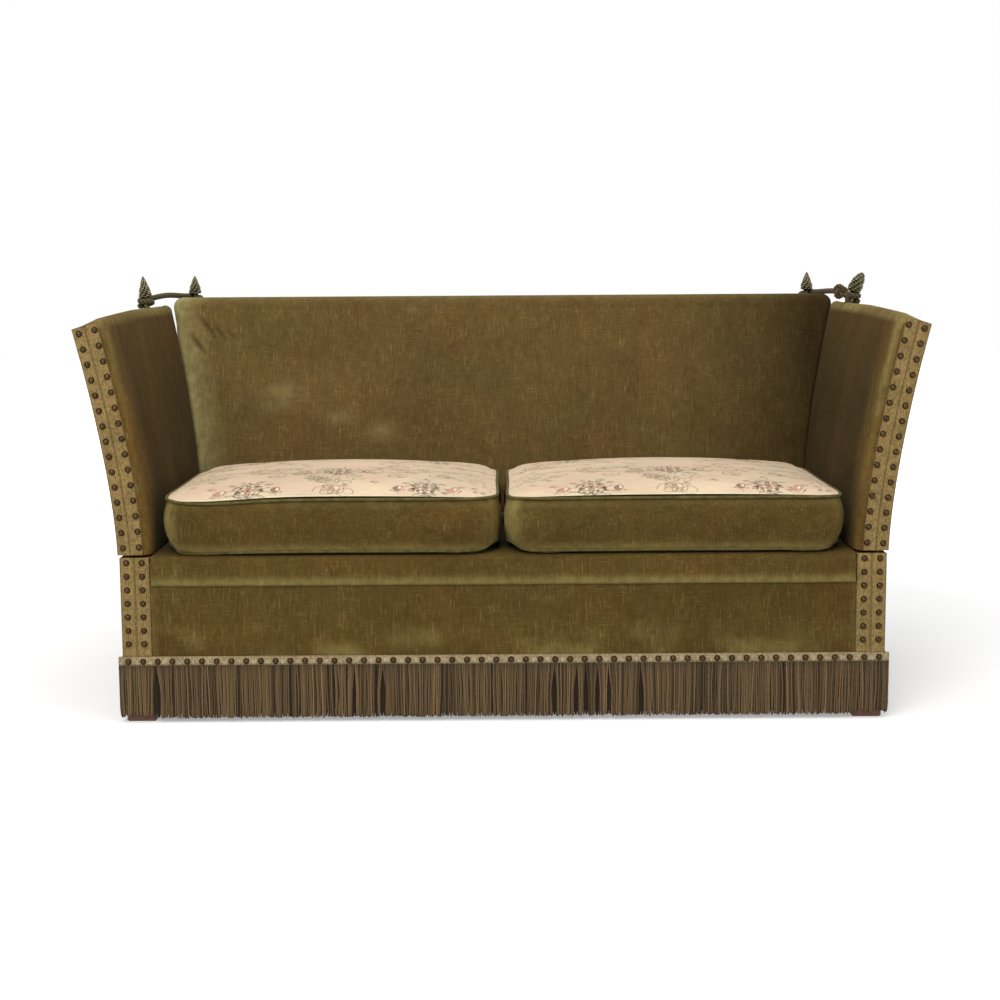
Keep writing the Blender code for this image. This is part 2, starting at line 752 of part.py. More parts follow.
def finial_profile(tall):
    """(radius, height, lobe share) up the finial from the foot of its dowel to its tip."""
    neck_top = FINIAL_DISC + neck_length()
    bulb = tall - neck_top
    profile = [
        (DOWEL_RADIUS, -DOWEL_LENGTH, 0.0),
        (DOWEL_RADIUS, 0.0, 0.0),
        (FINIAL_DISC_RADIUS, 0.0, 0.0),
        (FINIAL_DISC_RADIUS, FINIAL_DISC, 0.0),
        (NECK_RADIUS, FINIAL_DISC, 0.0),
        (NECK_RADIUS, neck_top, 0.0),
    ]
    for up_share, radius_share in FLAME_SHARES:
        lobe = FLAME_LOBE_SHARE if up_share else 0.0
        profile.append((BULB_RADIUS * radius_share, neck_top + bulb * up_share, lobe))
    return profile + [(TIP_RADIUS, tall, 0.0)]


def neck_length():
    return CORD_TURNS * CORD_PITCH + 2 * CORD_RADIUS + 2 * TOUCH


def make_finial(name, frame, tall, brass, pivot=None):
    """The twisted flame: lobes that wind round the axis as they rise."""
    sides = 4 * FLAME_LOBES
    rings = []
    for radius, height, lobe in finial_profile(tall):
        twist = 2 * math.pi * FLAME_TURNS * height / tall
        ring = []
        for i in range(sides):
            angle = 2 * math.pi * i / sides
            wave = 1 + lobe * math.cos(FLAME_LOBES * angle)
            turn = angle + (twist if lobe else 0.0)
            reach = radius * wave
            ring.append(frame @ Vector((reach * math.cos(turn), reach * math.sin(turn), height)))
        rings.append(ring)
    return solid(name, loft(rings), brass, pivot, smooth=math.radians(30))


def seat_finial(frame, pads, wood):
    """Cuts the seat of a finial's disc and the hole of its dowel."""
    sides = 4 * FLAME_LOBES
    for i, pad in enumerate(pads):
        ends = (-TOUCH, FINIAL_DISC + OVERRUN)
        recess = turned([(FINIAL_DISC_RADIUS + TOUCH, end) for end in ends], sides, frame)
        cut(pad, recess, f"{pad.name}_recess_{i}")
    for piece in pads + wood:
        radius = DOWEL_RADIUS + DOWEL_CLEARANCE
        hole = turned(((radius, -DOWEL_LENGTH - TOUCH), (radius, OVERRUN)), sides, frame)
        cut(piece, hole, f"{piece.name}_hole")


# Hinges


def make_hinges(side, sign, pivot, iron):
    axis = place(sign * AXIS_HALF, 0.0, AXIS_HEIGHT)
    run = Matrix.Rotation(-math.pi / 2, 4, "X")  # turns Z onto Y
    knuckle = (HINGE_LENGTH - 2 * KNUCKLE_GAP) / 3
    middles = {"front": HINGE_INSET, "rear": arm_rear(ARM_FOOT) - HINGE_INSET}
    for end, middle in middles.items():
        start = middle - HINGE_LENGTH / 2
        origin = Matrix.Translation(Vector((axis.x, start - MIDDLE, axis.z))) @ run
        low_plate = leaf_plate(sign, start, BASE_TOP, BASE_TOP + HINGE_LEAF)
        low = solid(f"hinge_{side}_{end}_fixed_leaf", low_plate, iron)
        clear_middle = box_at(
            sign, start + knuckle, start + 2 * knuckle + 2 * KNUCKLE_GAP,
            AXIS_HALF - KNUCKLE_RADIUS - PIN_CLEARANCE,
        )
        cut(low, clear_middle, f"{low.name}_notch")
        for i in (0, 2):
            base = i * (knuckle + KNUCKLE_GAP)
            joined(low, barrel(base, knuckle, origin), f"{low.name}_knuckle_{i}")
        pin_ends = (TOUCH, HINGE_LENGTH - TOUCH)
        pin = turned([(PIN_RADIUS, end) for end in pin_ends], PIN_SIDES, origin)
        joined(low, pin, f"{low.name}_pin")
        high_plate = leaf_plate(sign, start, ARM_FOOT - HINGE_LEAF - TOUCH, ARM_FOOT - TOUCH)
        high = solid(f"hinge_{side}_{end}_arm_leaf", high_plate, iron, pivot)
        for i in (0, 2):
            base = start + i * (knuckle + KNUCKLE_GAP) - (KNUCKLE_GAP if i else OVERRUN)
            end_at = base + knuckle + KNUCKLE_GAP + (KNUCKLE_GAP if i == 0 else 0) + OVERRUN
            notch = box_at(sign, base, end_at, AXIS_HALF - KNUCKLE_RADIUS - PIN_CLEARANCE)
            cut(high, notch, f"{high.name}_notch_{i}")
        base = knuckle + KNUCKLE_GAP
        joined(high, barrel(base, knuckle, origin), f"{high.name}_knuckle")
        radius = PIN_RADIUS + PIN_CLEARANCE
        bore_ends = (base - OVERRUN, base + knuckle + OVERRUN)
        bore = turned([(radius, end) for end in bore_ends], PIN_SIDES, origin)
        cut(high, bore, f"{high.name}_bore")


def barrel(base, length, origin):
    """One knuckle, a little shorter than its stretch of the leaf."""
    ends = (base + TOUCH / 3, base + length - TOUCH / 3)
    return turned([(KNUCKLE_RADIUS, end) for end in ends], PIN_SIDES, origin)


def leaf_plate(sign, start, foot, top):
    inner, outer = sorted((sign * (AXIS_HALF - HINGE_REACH), sign * AXIS_HALF))
    return box((inner, start, foot), (outer, start + HINGE_LENGTH, top))


def box_at(sign, start, end, inner_half):
    """A cutter that clears a leaf outside a half width."""
    inner, outer = sorted((sign * inner_half, sign * (AXIS_HALF + OVERRUN)))
    low, high = AXIS_HEIGHT - OVERRUN, AXIS_HEIGHT + OVERRUN
    return box((inner, start, low), (outer, end, high))


# Tie cords


def helix(frame, sign, last_angle, rising):
    """Turns round a neck in its own frame, ending at last_angle at the top turn."""
    radius = NECK_RADIUS + TOUCH + CORD_RADIUS
    base = FINIAL_DISC + TOUCH + CORD_RADIUS
    count = CORD_TURNS * TURN_POINTS
    points = []
    for i in range(count + 1):
        share = i / count
        angle = last_angle - 2 * math.pi * CORD_TURNS * (1 - share) * rising
        height = base + CORD_PITCH * CORD_TURNS * share
        points.append(
            frame @ Vector((sign * radius * math.cos(angle), radius * math.sin(angle), height))
        )
    return points


def straight_tail(points, frame):
    """Adds the cord's end, which runs straight and level on from its lowest turn."""
    up = frame.col[2].to_3d()
    direction = points[0] - points[1]
    direction = (direction - up * direction.dot(up)).normalized()
    return [points[0] + direction * CORD_TAIL, points[0] + direction * CORD_TAIL / 2] + points


def cord_routes(side, sign):
    """(points from the arm's neck to the split, points from the split to the back's neck)."""
    arm, back = (finial_frame(side, sign, where) for where in ("arm", "back"))
    start, end = arm.translation, back.translation
    run = Vector((sign * (end.x - start.x), end.y - start.y, 0.0)).normalized()
    leaving = math.atan2(-run.x, run.y)
    first = straight_tail(helix(arm, sign, leaving, 1), arm)
    last = list(reversed(straight_tail(helix(back, sign, leaving, -1), back)))
    a, b = first[-1], last[0]
    gone = []
    for i in range(1, SPAN_STEPS):
        share = i / SPAN_STEPS
        point = a.lerp(b, share)
        point.z += CORD_ARCH * math.sin(math.pi * share) ** 2
        gone.append((share, point))
    at = CORD_SPLIT_SHARE
    split = a.lerp(b, at)
    split.z += CORD_ARCH * math.sin(math.pi * at) ** 2
    clear = 1 / SPAN_STEPS / 2
    near = [p for share, p in gone if share < at - clear]
    far = [p for share, p in gone if share > at + clear]
    step = (far[0] - near[-1]).normalized() * TOUCH / 2
    return first + near + [split - step], [split + step] + far + last, split


def tube(name, points, finish, pivot=None):
    offset = pivot.location if pivot else Vector((0, 0, 0))
    curve = bpy.data.curves.new(name, "CURVE")
    curve.dimensions = "3D"
    curve.bevel_depth = CORD_RADIUS
    curve.bevel_resolution = 1
    curve.use_fill_caps = True
    spline = curve.splines.new("POLY")
    spline.points.add(len(points) - 1)
    for slot, point in zip(spline.points, points):
        slot.co = (*(point - offset), 1.0)
    curve.materials.append(finish)
    made = bpy.data.objects.new(name, curve)
    made.parent = pivot
    bpy.context.scene.collection.objects.link(made)
    return made


def least_gap(points):
    """Least clear space between parts of a tube that are over half a turn apart along it."""
    steps = 5
    array = np.array(points)
    shares = np.arange(steps)[:, None] / steps
    fine = np.concatenate([a + (b - a) * shares for a, b in zip(array, array[1:])])
    apart = steps * TURN_POINTS // 2
    least = math.inf
    for i in range(len(fine) - apart):
        least = min(least, np.linalg.norm(fine[i + apart :] - fine[i], axis=1).min())
    return least - 2 * CORD_RADIUS


def make_cords(rope):
    for side, sign in SIDES.items():
        arm_part, back_part, split = cord_routes(side, sign)
        pivot = empty(f"tie_cord_{side}_axis", split)
        tube(f"tie_cord_{side}", arm_part, rope, pivot)
        tube(f"tie_cord_{side}_back_turns", back_part, rope)
        for name, points in (("arm", arm_part), ("back", back_part)):
            gap = least_gap(points) * 1000
            print(f"tie cord {side}, {name} part: least gap to itself {gap:.2f} mm")


def make_arm(side, sign, velvet, braid, wood, iron, brass):
    pivot = empty(f"arm_{side}_axis", place(sign * AXIS_HALF, 0.0, AXIS_HEIGHT))
    top_share = 1 - (ARM_TOP_DROP + TOUCH) / ARM_RISE
    near, far = ARM_COVER + TOUCH, ARM_COVER + TOUCH + ARM_BOARD_THICKNESS
    front = BAND_THICKNESS + TOUCH
    board = solid(f"arm_{side}_board", slab(sign, near, far, 0.0, top_share, front), wood, pivot)
    cover = slab(sign, 0.0, ARM_COVER, 0.0, top_share, front)
    solid(f"arm_{side}_cover", cover, velvet, pivot)
    pad = make_arm_pad(side, sign, pivot, velvet)
    make_arm_band(side, sign, pivot, braid)
    make_hinges(side, sign, pivot, iron)
    stand = finial_frame(side, sign, "arm")
    make_finial(f"arm_{side}_finial", stand, FINIAL_HEIGHTS["arm"], brass, pivot)
    seat_finial(stand, [pad], [board])


# Cushions


def cushion_plan(u, v):
    """A point of the cushion's plan for u and v from -1 to 1, drawn in along its sides."""
    half_x, half_y = CUSHION_WIDTH / 2, CUSHION_DEPTH / 2
    corner = (u * u * v * v) ** 4
    x = u * half_x - math.copysign(CUSHION_PULL, u) * abs(u) ** 3 * (1 - v * v)
    y = v * half_y - math.copysign(CUSHION_PULL, v) * abs(v) ** 3 * (1 - u * u)
    cut_off = CUSHION_CORNER * corner
    return x - math.copysign(cut_off, u), y - math.copysign(cut_off, v)


def crown(u, v):
    return CUSHION_CROWN * ((1 - u * u) * (1 - v * v)) ** CROWN_ROUND_SHARE


def cushion_grid(columns, rows):
    us = [-math.cos(math.pi * i / columns) for i in range(columns + 1)]
    vs = [-math.cos(math.pi * i / rows) for i in range(rows + 1)]
    return us, vs


def rim(us, vs):
    """The (u, v) points round the edge of the grid, in order."""
    found = [(u, vs[0]) for u in us[:-1]] + [(us[-1], v) for v in vs[:-1]]
    return found + [(u, vs[-1]) for u in us[:0:-1]] + [(us[0], v) for v in vs[:0:-1]]


def sheet_of(mesh, us, vs, to_world):
    grid = {(u, v): mesh.verts.new(to_world(u, v)) for u in us for v in vs}
    for u0, u1 in zip(us, us[1:]):
        for v0, v1 in zip(vs, vs[1:]):
            mesh.faces.new((grid[u0, v0], grid[u1, v0], grid[u1, v1], grid[u0, v1]))
    return grid


def bridge(mesh, first, second):
    count = len(first)
    for i in range(count):
        j = (i + 1) % count
        mesh.faces.new((first[i], first[j], second[j], second[i]))


def make_cushion(side, sign, velvet, tapestry):
    centre_x = sign * (CUSHION_SPACING + CUSHION_WIDTH) / 2
    centre_d = CUSHION_FRONT + CUSHION_DEPTH / 2
    foot = DECK_TOP + TOUCH
    welt = foot + CUSHION_SIDE
    pivot = empty(f"seat_cushion_{side}_lift", place(centre_x, centre_d, foot))
    us, vs = cushion_grid(8, 7)
    edge = rim(us, vs)

    def at(u, v, height, out=0.0):
        x, y = cushion_plan(u, v)
        reach = math.hypot(x, y)
        return place(centre_x + x + out * x / reach, centre_d + y + out * y / reach, height)

    body = bmesh.new()
    below = TOP_PANEL_THICKNESS + TOUCH
    top = sheet_of(body, us, vs, lambda u, v: at(u, v, welt - below + crown(u, v)))
    loops = [[top[key] for key in edge]]
    for level_share in CUSHION_LEVEL_SHARES:
        out = CUSHION_BULGE * math.sin(math.pi * level_share)
        height = foot + (CUSHION_SIDE - below) * level_share
        loops.append([body.verts.new(at(u, v, height, out)) for u, v in edge])
    loops.append([body.verts.new(at(u, v, foot)) for u, v in edge])
    for first, second in zip(loops, loops[1:]):
        bridge(body, first, second)
    body.faces.new(loops[-1])
    solid(f"seat_cushion_{side}", body, velvet, pivot, smooth=math.radians(50))
    panel = bmesh.new()
    upper = sheet_of(panel, us, vs, lambda u, v: at(u, v, welt + crown(u, v)))
    lower = sheet_of(panel, us, vs, lambda u, v: at(u, v, welt - TOP_PANEL_THICKNESS + crown(u, v)))
    bridge(panel, [upper[key] for key in edge], [lower[key] for key in edge])
    solid(f"seat_cushion_{side}_top", panel, tapestry, pivot, smooth=math.radians(50))


def main():
    clear_scene()
    velvet = material("velvet", (0.145, 0.105, 0.035), 0.85)
    braid = material("braid", (0.35, 0.25, 0.10), 0.8)
    fringe = material("fringe", (0.10, 0.072, 0.037), 0.9)
    tapestry = material("tapestry", (0.72, 0.55, 0.36), 0.9)
    wood = material("beech", (0.45, 0.28, 0.14), 0.55)
    leg_wood = material("stained_wood", (0.14, 0.055, 0.03), 0.45)
    jute = material("jute", (0.42, 0.32, 0.18), 0.95)
    cloth = material("platform_cloth", (0.09, 0.08, 0.05), 0.95)
    iron = material("hinge_brass", (0.42, 0.31, 0.13), 0.4, 1.0)
    brass = material("antique_brass", (0.30, 0.21, 0.08), 0.4, 1.0)
    rope = material("cord", (0.13, 0.10, 0.05), 0.85)

    make_legs(leg_wood)
    make_rails(wood)
    make_seat_webbing(jute)
    make_deck(cloth)
    make_lip(velvet)
    make_covers(velvet, cloth)
    make_base_bands(braid)
    make_fringe(fringe)
    make_back_frame(wood)
    make_back_webbing(jute)
    make_back_pad(velvet)
    make_outer_back(velvet)
    for side, sign in SIDES.items():
        make_arm(side, sign, velvet, braid, wood, iron, brass)
        stand = finial_frame(side, sign, "back")
        make_finial(f"back_finial_{side}", stand, FINIAL_HEIGHTS["back"], brass)
        seat_finial(stand, [bpy.data.objects["back_pad"]], [bpy.data.objects["back_top_rail"]])
        make_cushion(side, sign, velvet, tapestry)
    make_cords(rope)


main()
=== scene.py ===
import math

import bpy
import numpy as np
from mathutils import Matrix, Vector
from mathutils.bvhtree import BVHTree


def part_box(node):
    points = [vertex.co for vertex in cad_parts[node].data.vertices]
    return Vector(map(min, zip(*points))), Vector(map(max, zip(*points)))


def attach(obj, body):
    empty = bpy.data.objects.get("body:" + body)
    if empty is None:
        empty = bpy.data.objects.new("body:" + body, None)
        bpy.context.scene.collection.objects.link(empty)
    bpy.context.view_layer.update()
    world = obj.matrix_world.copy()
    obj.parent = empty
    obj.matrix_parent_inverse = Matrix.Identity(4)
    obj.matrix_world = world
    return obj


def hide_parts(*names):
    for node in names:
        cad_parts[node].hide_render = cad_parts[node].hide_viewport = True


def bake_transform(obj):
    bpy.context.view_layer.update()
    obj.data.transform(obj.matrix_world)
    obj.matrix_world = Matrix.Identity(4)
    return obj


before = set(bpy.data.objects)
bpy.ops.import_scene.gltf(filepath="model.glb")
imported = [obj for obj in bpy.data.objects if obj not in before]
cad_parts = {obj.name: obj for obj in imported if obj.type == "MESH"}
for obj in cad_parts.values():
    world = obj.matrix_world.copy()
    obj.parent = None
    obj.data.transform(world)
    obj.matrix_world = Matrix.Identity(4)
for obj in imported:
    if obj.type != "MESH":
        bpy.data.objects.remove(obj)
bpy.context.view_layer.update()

TURN = 2 * math.pi
MIDDLE = -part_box("base_band_left")[0].y  # from the front bands' face to the frame's origin
SIDES = {"left": -1, "right": 1}

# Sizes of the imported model, in metres
TOUCH = 0.0003
BASE_WIDTH = 1.549
BASE_DEPTH = 0.745
BASE_TOP = 0.341
RAIL_FOOT = 0.105
RAIL_THICKNESS = 0.028
LEG_WIDTH = 0.060
COVER_THICKNESS = 0.0027
REAR_COVER_THICKNESS = 0.0067
FRONT_PANEL_THICKNESS = 0.0067
FRONT_PANEL_TOP = 0.330
DECK_TOP = 0.343
LIP_RUN = 0.100
LIP_DROP = 0.060
BAND_WIDTH = 0.0605
BAND_THICKNESS = 0.003
BAND_LAP = 0.004  # of the front's cover under the bands
HEADING_TOP = 0.137
HEADING_FOOT = 0.115
FRINGE_FOOT = 0.009
FRINGE_THICKNESS = 0.0078
BACK_RAKE = math.radians(15)
PAD_DEPTH = 0.072
BACK_BULGE = 0.007
BACK_CREST_RUN = 0.030
BACK_CORNER = 0.030
BACK_REAR_DROP = 0.022
TOP_COVER = 0.0035
BACK_OVER_ARM = 0.0055
BACK_FLANGE = 0.004
OUTER_BACK_THICKNESS = 0.006
POST_DEPTH = 0.045
ARM_RISE = 0.454
ARM_FLARE = 0.0755
ARM_THICKNESS = 0.068
ARM_COVER = 0.0057
ARM_BOARD_THICKNESS = 0.028
ARM_TOP_DROP = 0.026
ARM_CROWN = 0.018
ARM_FRONT_ROLL = 0.030
ARM_CROWN_RUN = 0.300
ARM_BAND_WIDTH = 0.052
FINIAL_HEIGHTS = {"arm": 0.079, "back": 0.073}
FINIAL_DISC = 0.006
FINIAL_DISC_RADIUS = 0.0130
NECK_RADIUS = 0.0065
BULB_RADIUS = 0.0152
SEAT_RECESS = 0.0035
ARM_FINIAL_INSET = 0.115
ARM_FINIAL_INWARDS = {"left": 0.034, "right": 0.046}
BACK_FINIAL_INSET = 0.0446
LEANS = {"left": math.radians(6), "right": math.radians(15)}
CORD_RADIUS = 0.0055
CORD_PITCH = 0.0130
CORD_TURNS = 1
CORD_ARCH = 0.006
CORD_SPLIT_SHARE = 0.54
CORD_TAIL = 0.012
CUSHION_SPACING = 0.0215
CUSHION_FRONT = 0.004
CUSHION_SIDE = 0.112
CUSHION_CROWN = 0.0405
CUSHION_BULGE = 0.008
CUSHION_PULL = 0.007

HALF_BASE = BASE_WIDTH / 2
COVER_BACK = HALF_BASE - COVER_THICKNESS - TOUCH
PANEL_FACE = BAND_THICKNESS + TOUCH
FRAME_REAR = BASE_DEPTH - REAR_COVER_THICKNESS - TOUCH
WEBBING_TOP = 0.3273
ARM_FOOT_HALF = HALF_BASE + 0.0035
ARM_FOOT = BASE_TOP + 0.005
BACK_STACK = PAD_DEPTH + 0.002 + 2 * TOUCH + POST_DEPTH
BACK_FACE_AT_SPLIT = FRAME_REAR - BACK_STACK
BACK_CREST = ARM_FOOT + ARM_RISE + 0.049
BACK_REAR_TOP = BACK_CREST - BACK_REAR_DROP
CUSHION_WIDTH = ARM_FOOT_HALF - ARM_THICKNESS - 0.026 - CUSHION_SPACING / 2
CUSHION_DEPTH = BACK_FACE_AT_SPLIT - 0.012 - CUSHION_FRONT
CUSHION_HALF = (CUSHION_WIDTH + 0.0145) / 2

# What the visual pieces add
ARM_BACK_GAP = 0.0028  # from the arm's rear edge to the face of the back
NAIL_RADIUS = 0.0064
NAIL_HEIGHT = 0.0046
NAIL_SINK = 0.0002
WELT_RADIUS = 0.0030
ROPE_RADIUS = 0.0066
HEADING_THICKNESS = FRINGE_THICKNESS * 0.55
PANEL_STEP = 0.008
PUFF_RUN = 0.06


# Camera, light and floor


CAMERA_AT = (-0.0055, -3.5 - MIDDLE, 0.9192)
CAMERA_PITCH = math.radians(90 - 7.577)
CAMERA_ROLL = -0.00666
SENSOR = 36
FOCAL_SHARE = 1.7588  # of the picture's width
FLOOR_REACH = 14.0
WHITE = (1.0, 1.0, 1.0)
# Name, place, what it points at, size, power, colour
LAMPS = (
    ("key", (-1.2, -3.9, 3.2), (0.0, 0.0, 0.4), (2.2, 2.2), 92, (1.0, 0.99, 0.97)),
    ("fill", (2.6, -3.4, 1.8), (0.0, 0.0, 0.5), (2.0, 2.0), 14, WHITE),
    ("top", (0.0, -0.5, 3.6), (0.0, 0.1, 0.0), (3.0, 2.0), 46, WHITE),
)


def add_object(name, data):
    made = bpy.data.objects.new(name, data)
    bpy.context.scene.collection.objects.link(made)
    return made


def add_camera():
    data = bpy.data.cameras.new("camera")
    data.sensor_width = SENSOR
    data.lens = FOCAL_SHARE * SENSOR
    made = add_object("camera", data)
    turn = Matrix.Rotation(CAMERA_PITCH, 4, "X") @ Matrix.Rotation(CAMERA_ROLL, 4, "Z")
    made.matrix_world = Matrix.Translation(CAMERA_AT) @ turn
    bpy.context.scene.camera = made


def add_lamps():
    for name, at, towards, size, power, colour in LAMPS:
        data = bpy.data.lights.new(name, "AREA")
        data.shape = "RECTANGLE"
        data.size, data.size_y = size
        data.energy, data.color = power, colour
        turn = (Vector(towards) - Vector(at)).to_track_quat("-Z", "Y").to_matrix().to_4x4()
        add_object(name, data).matrix_world = Matrix.Translation(at) @ turn


def add_world():
    world = bpy.data.worlds.new("studio")
    bpy.context.scene.world = world
    world.use_nodes = True
    nodes = Nodes(world.node_tree)
    shade = world.node_tree.nodes["Background"].inputs
    shade["Color"].default_value = (*WHITE, 1.0)
    nodes.put(shade["Strength"], nodes.add("Mix", {0: nodes.seen_directly(), 2: 0.42, 3: 1.0}))


def add_stage():
    """A pale floor that runs on until it meets the white world."""
    ends = (-FLOOR_REACH, FLOOR_REACH)
    floor = grid_object(
        "studio_floor", np.array([[(x, y, 0.0) for x in ends] for y in ends]), stage_finish()
    )


# Materials


class Value:
    """A node's output, for use in sums."""

    def __init__(self, nodes, socket):
        self.nodes, self.socket = nodes, socket

    def __add__(self, other):
        return self.nodes.math("ADD", self, other)

    def __sub__(self, other):
        return self.nodes.math("SUBTRACT", self, other)

    def __mul__(self, other):
        return self.nodes.math("MULTIPLY", self, other)

    def __truediv__(self, other):
        return self.nodes.math("DIVIDE", self, other)

    def sine(self, pitch=1.0):
        return self.nodes.math("SINE", self * (TURN / pitch))

    def ranged(self, low, high, out_low=0.0, out_high=1.0):
        limits = {"From Min": low, "From Max": high, "To Min": out_low, "To Max": out_high}
        return self.nodes.add("MapRange", {"Value": self, **limits})


class Nodes:
    """A node tree under construction."""

    def __init__(self, tree):
        self.tree = tree

    def put(self, socket, value):
        if isinstance(value, Value):
            self.tree.links.new(value.socket, socket)
        else:
            socket.default_value = value

    def add(self, kind, inputs=(), output=0, **settings):
        node = self.tree.nodes.new("ShaderNode" + kind)
        for key, value in settings.items():
            setattr(node, key, value)
        for key, value in dict(inputs).items():
            self.put(node.inputs[key], value)
        return Value(self, node.outputs[output])

    def math(self, operation, first, second=0.0):
        return self.add("Math", {0: first, 1: second}, operation=operation)

    def seen_directly(self):
        """1 for rays that show what they meet: from the camera, off metal or through glass."""
        kinds = ("Is Camera Ray", "Is Glossy Ray", "Is Transmission Ray")
        camera, glossy, through = (self.add("LightPath", output=kind) for kind in kinds)
        return self.math("MAXIMUM", self.math("MAXIMUM", camera, glossy), through)


class Finish(Nodes):
    """A material under construction. rake is the slope of its surface away from upright."""

    def __init__(self, name, roughness=0.8, metallic=0.0, rake=0.0, **constants):
        self.made = bpy.data.materials.new(name)
        self.made.use_nodes = True
        super().__init__(self.made.node_tree)
        self.rake = rake
        self.inputs = self.tree.nodes["Principled BSDF"].inputs
        for key, value in {"Roughness": roughness, "Metallic": metallic, **constants}.items():
            self.inputs[key.replace("_", " ")].default_value = value

    def axes(self, position):
        parts = self.add("SeparateXYZ", {0: position}).socket.node.outputs
        return [Value(self, part) for part in parts]

    def where(self):
        """Position on the piece, with a raked surface stood upright."""
        found = self.add("TexCoord", output="Object")
        if not self.rake:
            return found
        x, y, z = self.axes(found)
        return self.add("CombineXYZ", {0: x, 1: y - z * self.rake, 2: z})

    def attribute(self, name, output="Fac"):
        return self.add("Attribute", output=output, attribute_name=name)

    def noise(self, scale, detail=2.0, stretch=(1, 1, 1), roughness=0.55, distortion=0.0):
        """Noise with the given cycles per metre, stretched along the axes."""
        inputs = {
            "Vector": self.add("Mapping", {"Vector": self.where(), "Scale": stretch}),
            "Scale": scale, "Detail": detail, "Roughness": roughness, "Distortion": distortion,
        }
        return self.add("TexNoise", inputs, "Fac")

    def mix(self, share, first, second, blend="MIX"):
        first, second = ((*c, 1.0) if isinstance(c, tuple) else c for c in (first, second))
        return self.add(
            "Mix", {0: share, 6: first, 7: second}, 2, data_type="RGBA", blend_type=blend
        )

    def brighten(self, colour, *factors):
        """The colour times grey factors."""
        for factor in factors:
            grey = self.add("CombineColor", dict.fromkeys(range(3), factor))
            colour = self.mix(1.0, colour, grey, "MULTIPLY")
        return colour

    def bump(self, height, strength, distance, **below):
        return self.add(
            "Bump", {"Height": height, "Strength": strength, "Distance": distance, **below}
        )

    def done(self, colour, normal=None, roughness=None):
        for key, value in (("Base Color", colour), ("Normal", normal), ("Roughness", roughness)):
            if value is not None:
                self.put(self.inputs[key], value)
        return self.made


def srgb(red, green, blue):
    """Linear colour of an 8-bit display colour."""
    shares = [value / 255 for value in (red, green, blue)]
    return tuple(s / 12.92 if s <= 0.04045 else ((s + 0.055) / 1.055) ** 2.4 for s in shares)


def stage_finish():
    """White that glows more with the distance, until the floor can't be told from the world."""
    made = Finish("studio_white", 1.0, Specular_IOR_Level=0.0, Emission_Color=(*WHITE, 1.0))
    far = made.add("VectorMath", {0: made.where()}, 1, operation="LENGTH")
    glow = made.seen_directly() * far.ranged(1.5, 3.2, 0.36, 1.0)
    made.put(made.inputs["Emission Strength"], glow)
    return made.done(made.brighten(WHITE, made.noise(1.5).ranged(0.2, 0.8, 0.93, 0.95)))


def velvet_finish(name, brown, green, pale, rake=0.0, sideways=1.0, streaks=0.3):
    """Cut velvet: clouded olive brown, its pile parted by fine light threads, paler where worn and
    where a sheen highlight is painted along rounded edges, lighter or darker where painted light
    and shade are set point by point.

    sideways is how fast the threads change with x, streaks how far the pile is stroked."""
    made = Finish(
        name, 0.88, 0.0, rake, Specular_IOR_Level=0.03, Sheen_Weight=0.10, Sheen_Roughness=0.35,
        Sheen_Tint=(0.60, 0.54, 0.34, 1.0),
    )
    stroked = 0.12 * streaks
    cloud = made.noise(5.0, 5.0, distortion=0.4).ranged(0.30, 0.70)
    upright = made.noise(360.0, 2.0, (sideways, 1, 0.10)).ranged(0.54, 0.72)
    level = made.noise(360.0, 2.0, (0.12 * sideways, 0.12, 1)).ranged(0.55, 0.74)
    groups = made.noise(22.0, 3.0).ranged(0.36, 0.64, 0.25, 1.0)
    threads = made.math("MAXIMUM", upright, level * 0.75) * groups
    patch = made.noise(9.0, 5.0, (1, 1, 0.8), 0.6, 0.5).ranged(0.33, 0.68, 0.88, 1.10)
    mottle = made.noise(60.0, 4.0, (sideways, 1, 0.9), 0.6).ranged(0.32, 0.68, 0.92, 1.07)
    stroke = made.noise(44.0, 3.0, (sideways, 1, 0.14)).ranged(0.32, 0.68, 1 - stroked, 1 + stroked)
    furrow = made.noise(380.0, 2.0, (sideways, 1, 0.12)).ranged(0.28, 0.60, 0.80, 1.04)
    across = made.noise(300.0, 2.0, (0.18 * sideways, 0.18, 1)).ranged(0.28, 0.60, 0.92, 1.02)
    # wear: real wear, and a painted sheen highlight along rounded edges, mixed towards the pale
    # colour
    wear = (
        made.attribute("wear").ranged(0.0, 1.0)
        * made.noise(48.0, 4.0).ranged(0.3, 0.7, 0.55, 1.2)
    )
    # tone: painted shade and painted highlights set point by point, with pale worn patches
    tone = made.attribute("tone").ranged(-1.0, 1.0, 0.35, 1.65)
    colour = made.mix(threads * 0.42, made.mix(cloud, brown, green), srgb(152, 131, 84))
    colour = made.brighten(
        made.mix(wear, colour, pale), patch, mottle, stroke, furrow, across, tone
    )
    pile = made.bump(made.noise(1500.0, 2.0), 0.25, 0.0006)
    return made.done(colour, made.bump(threads + furrow, 0.22, 0.0006, Normal=pile))


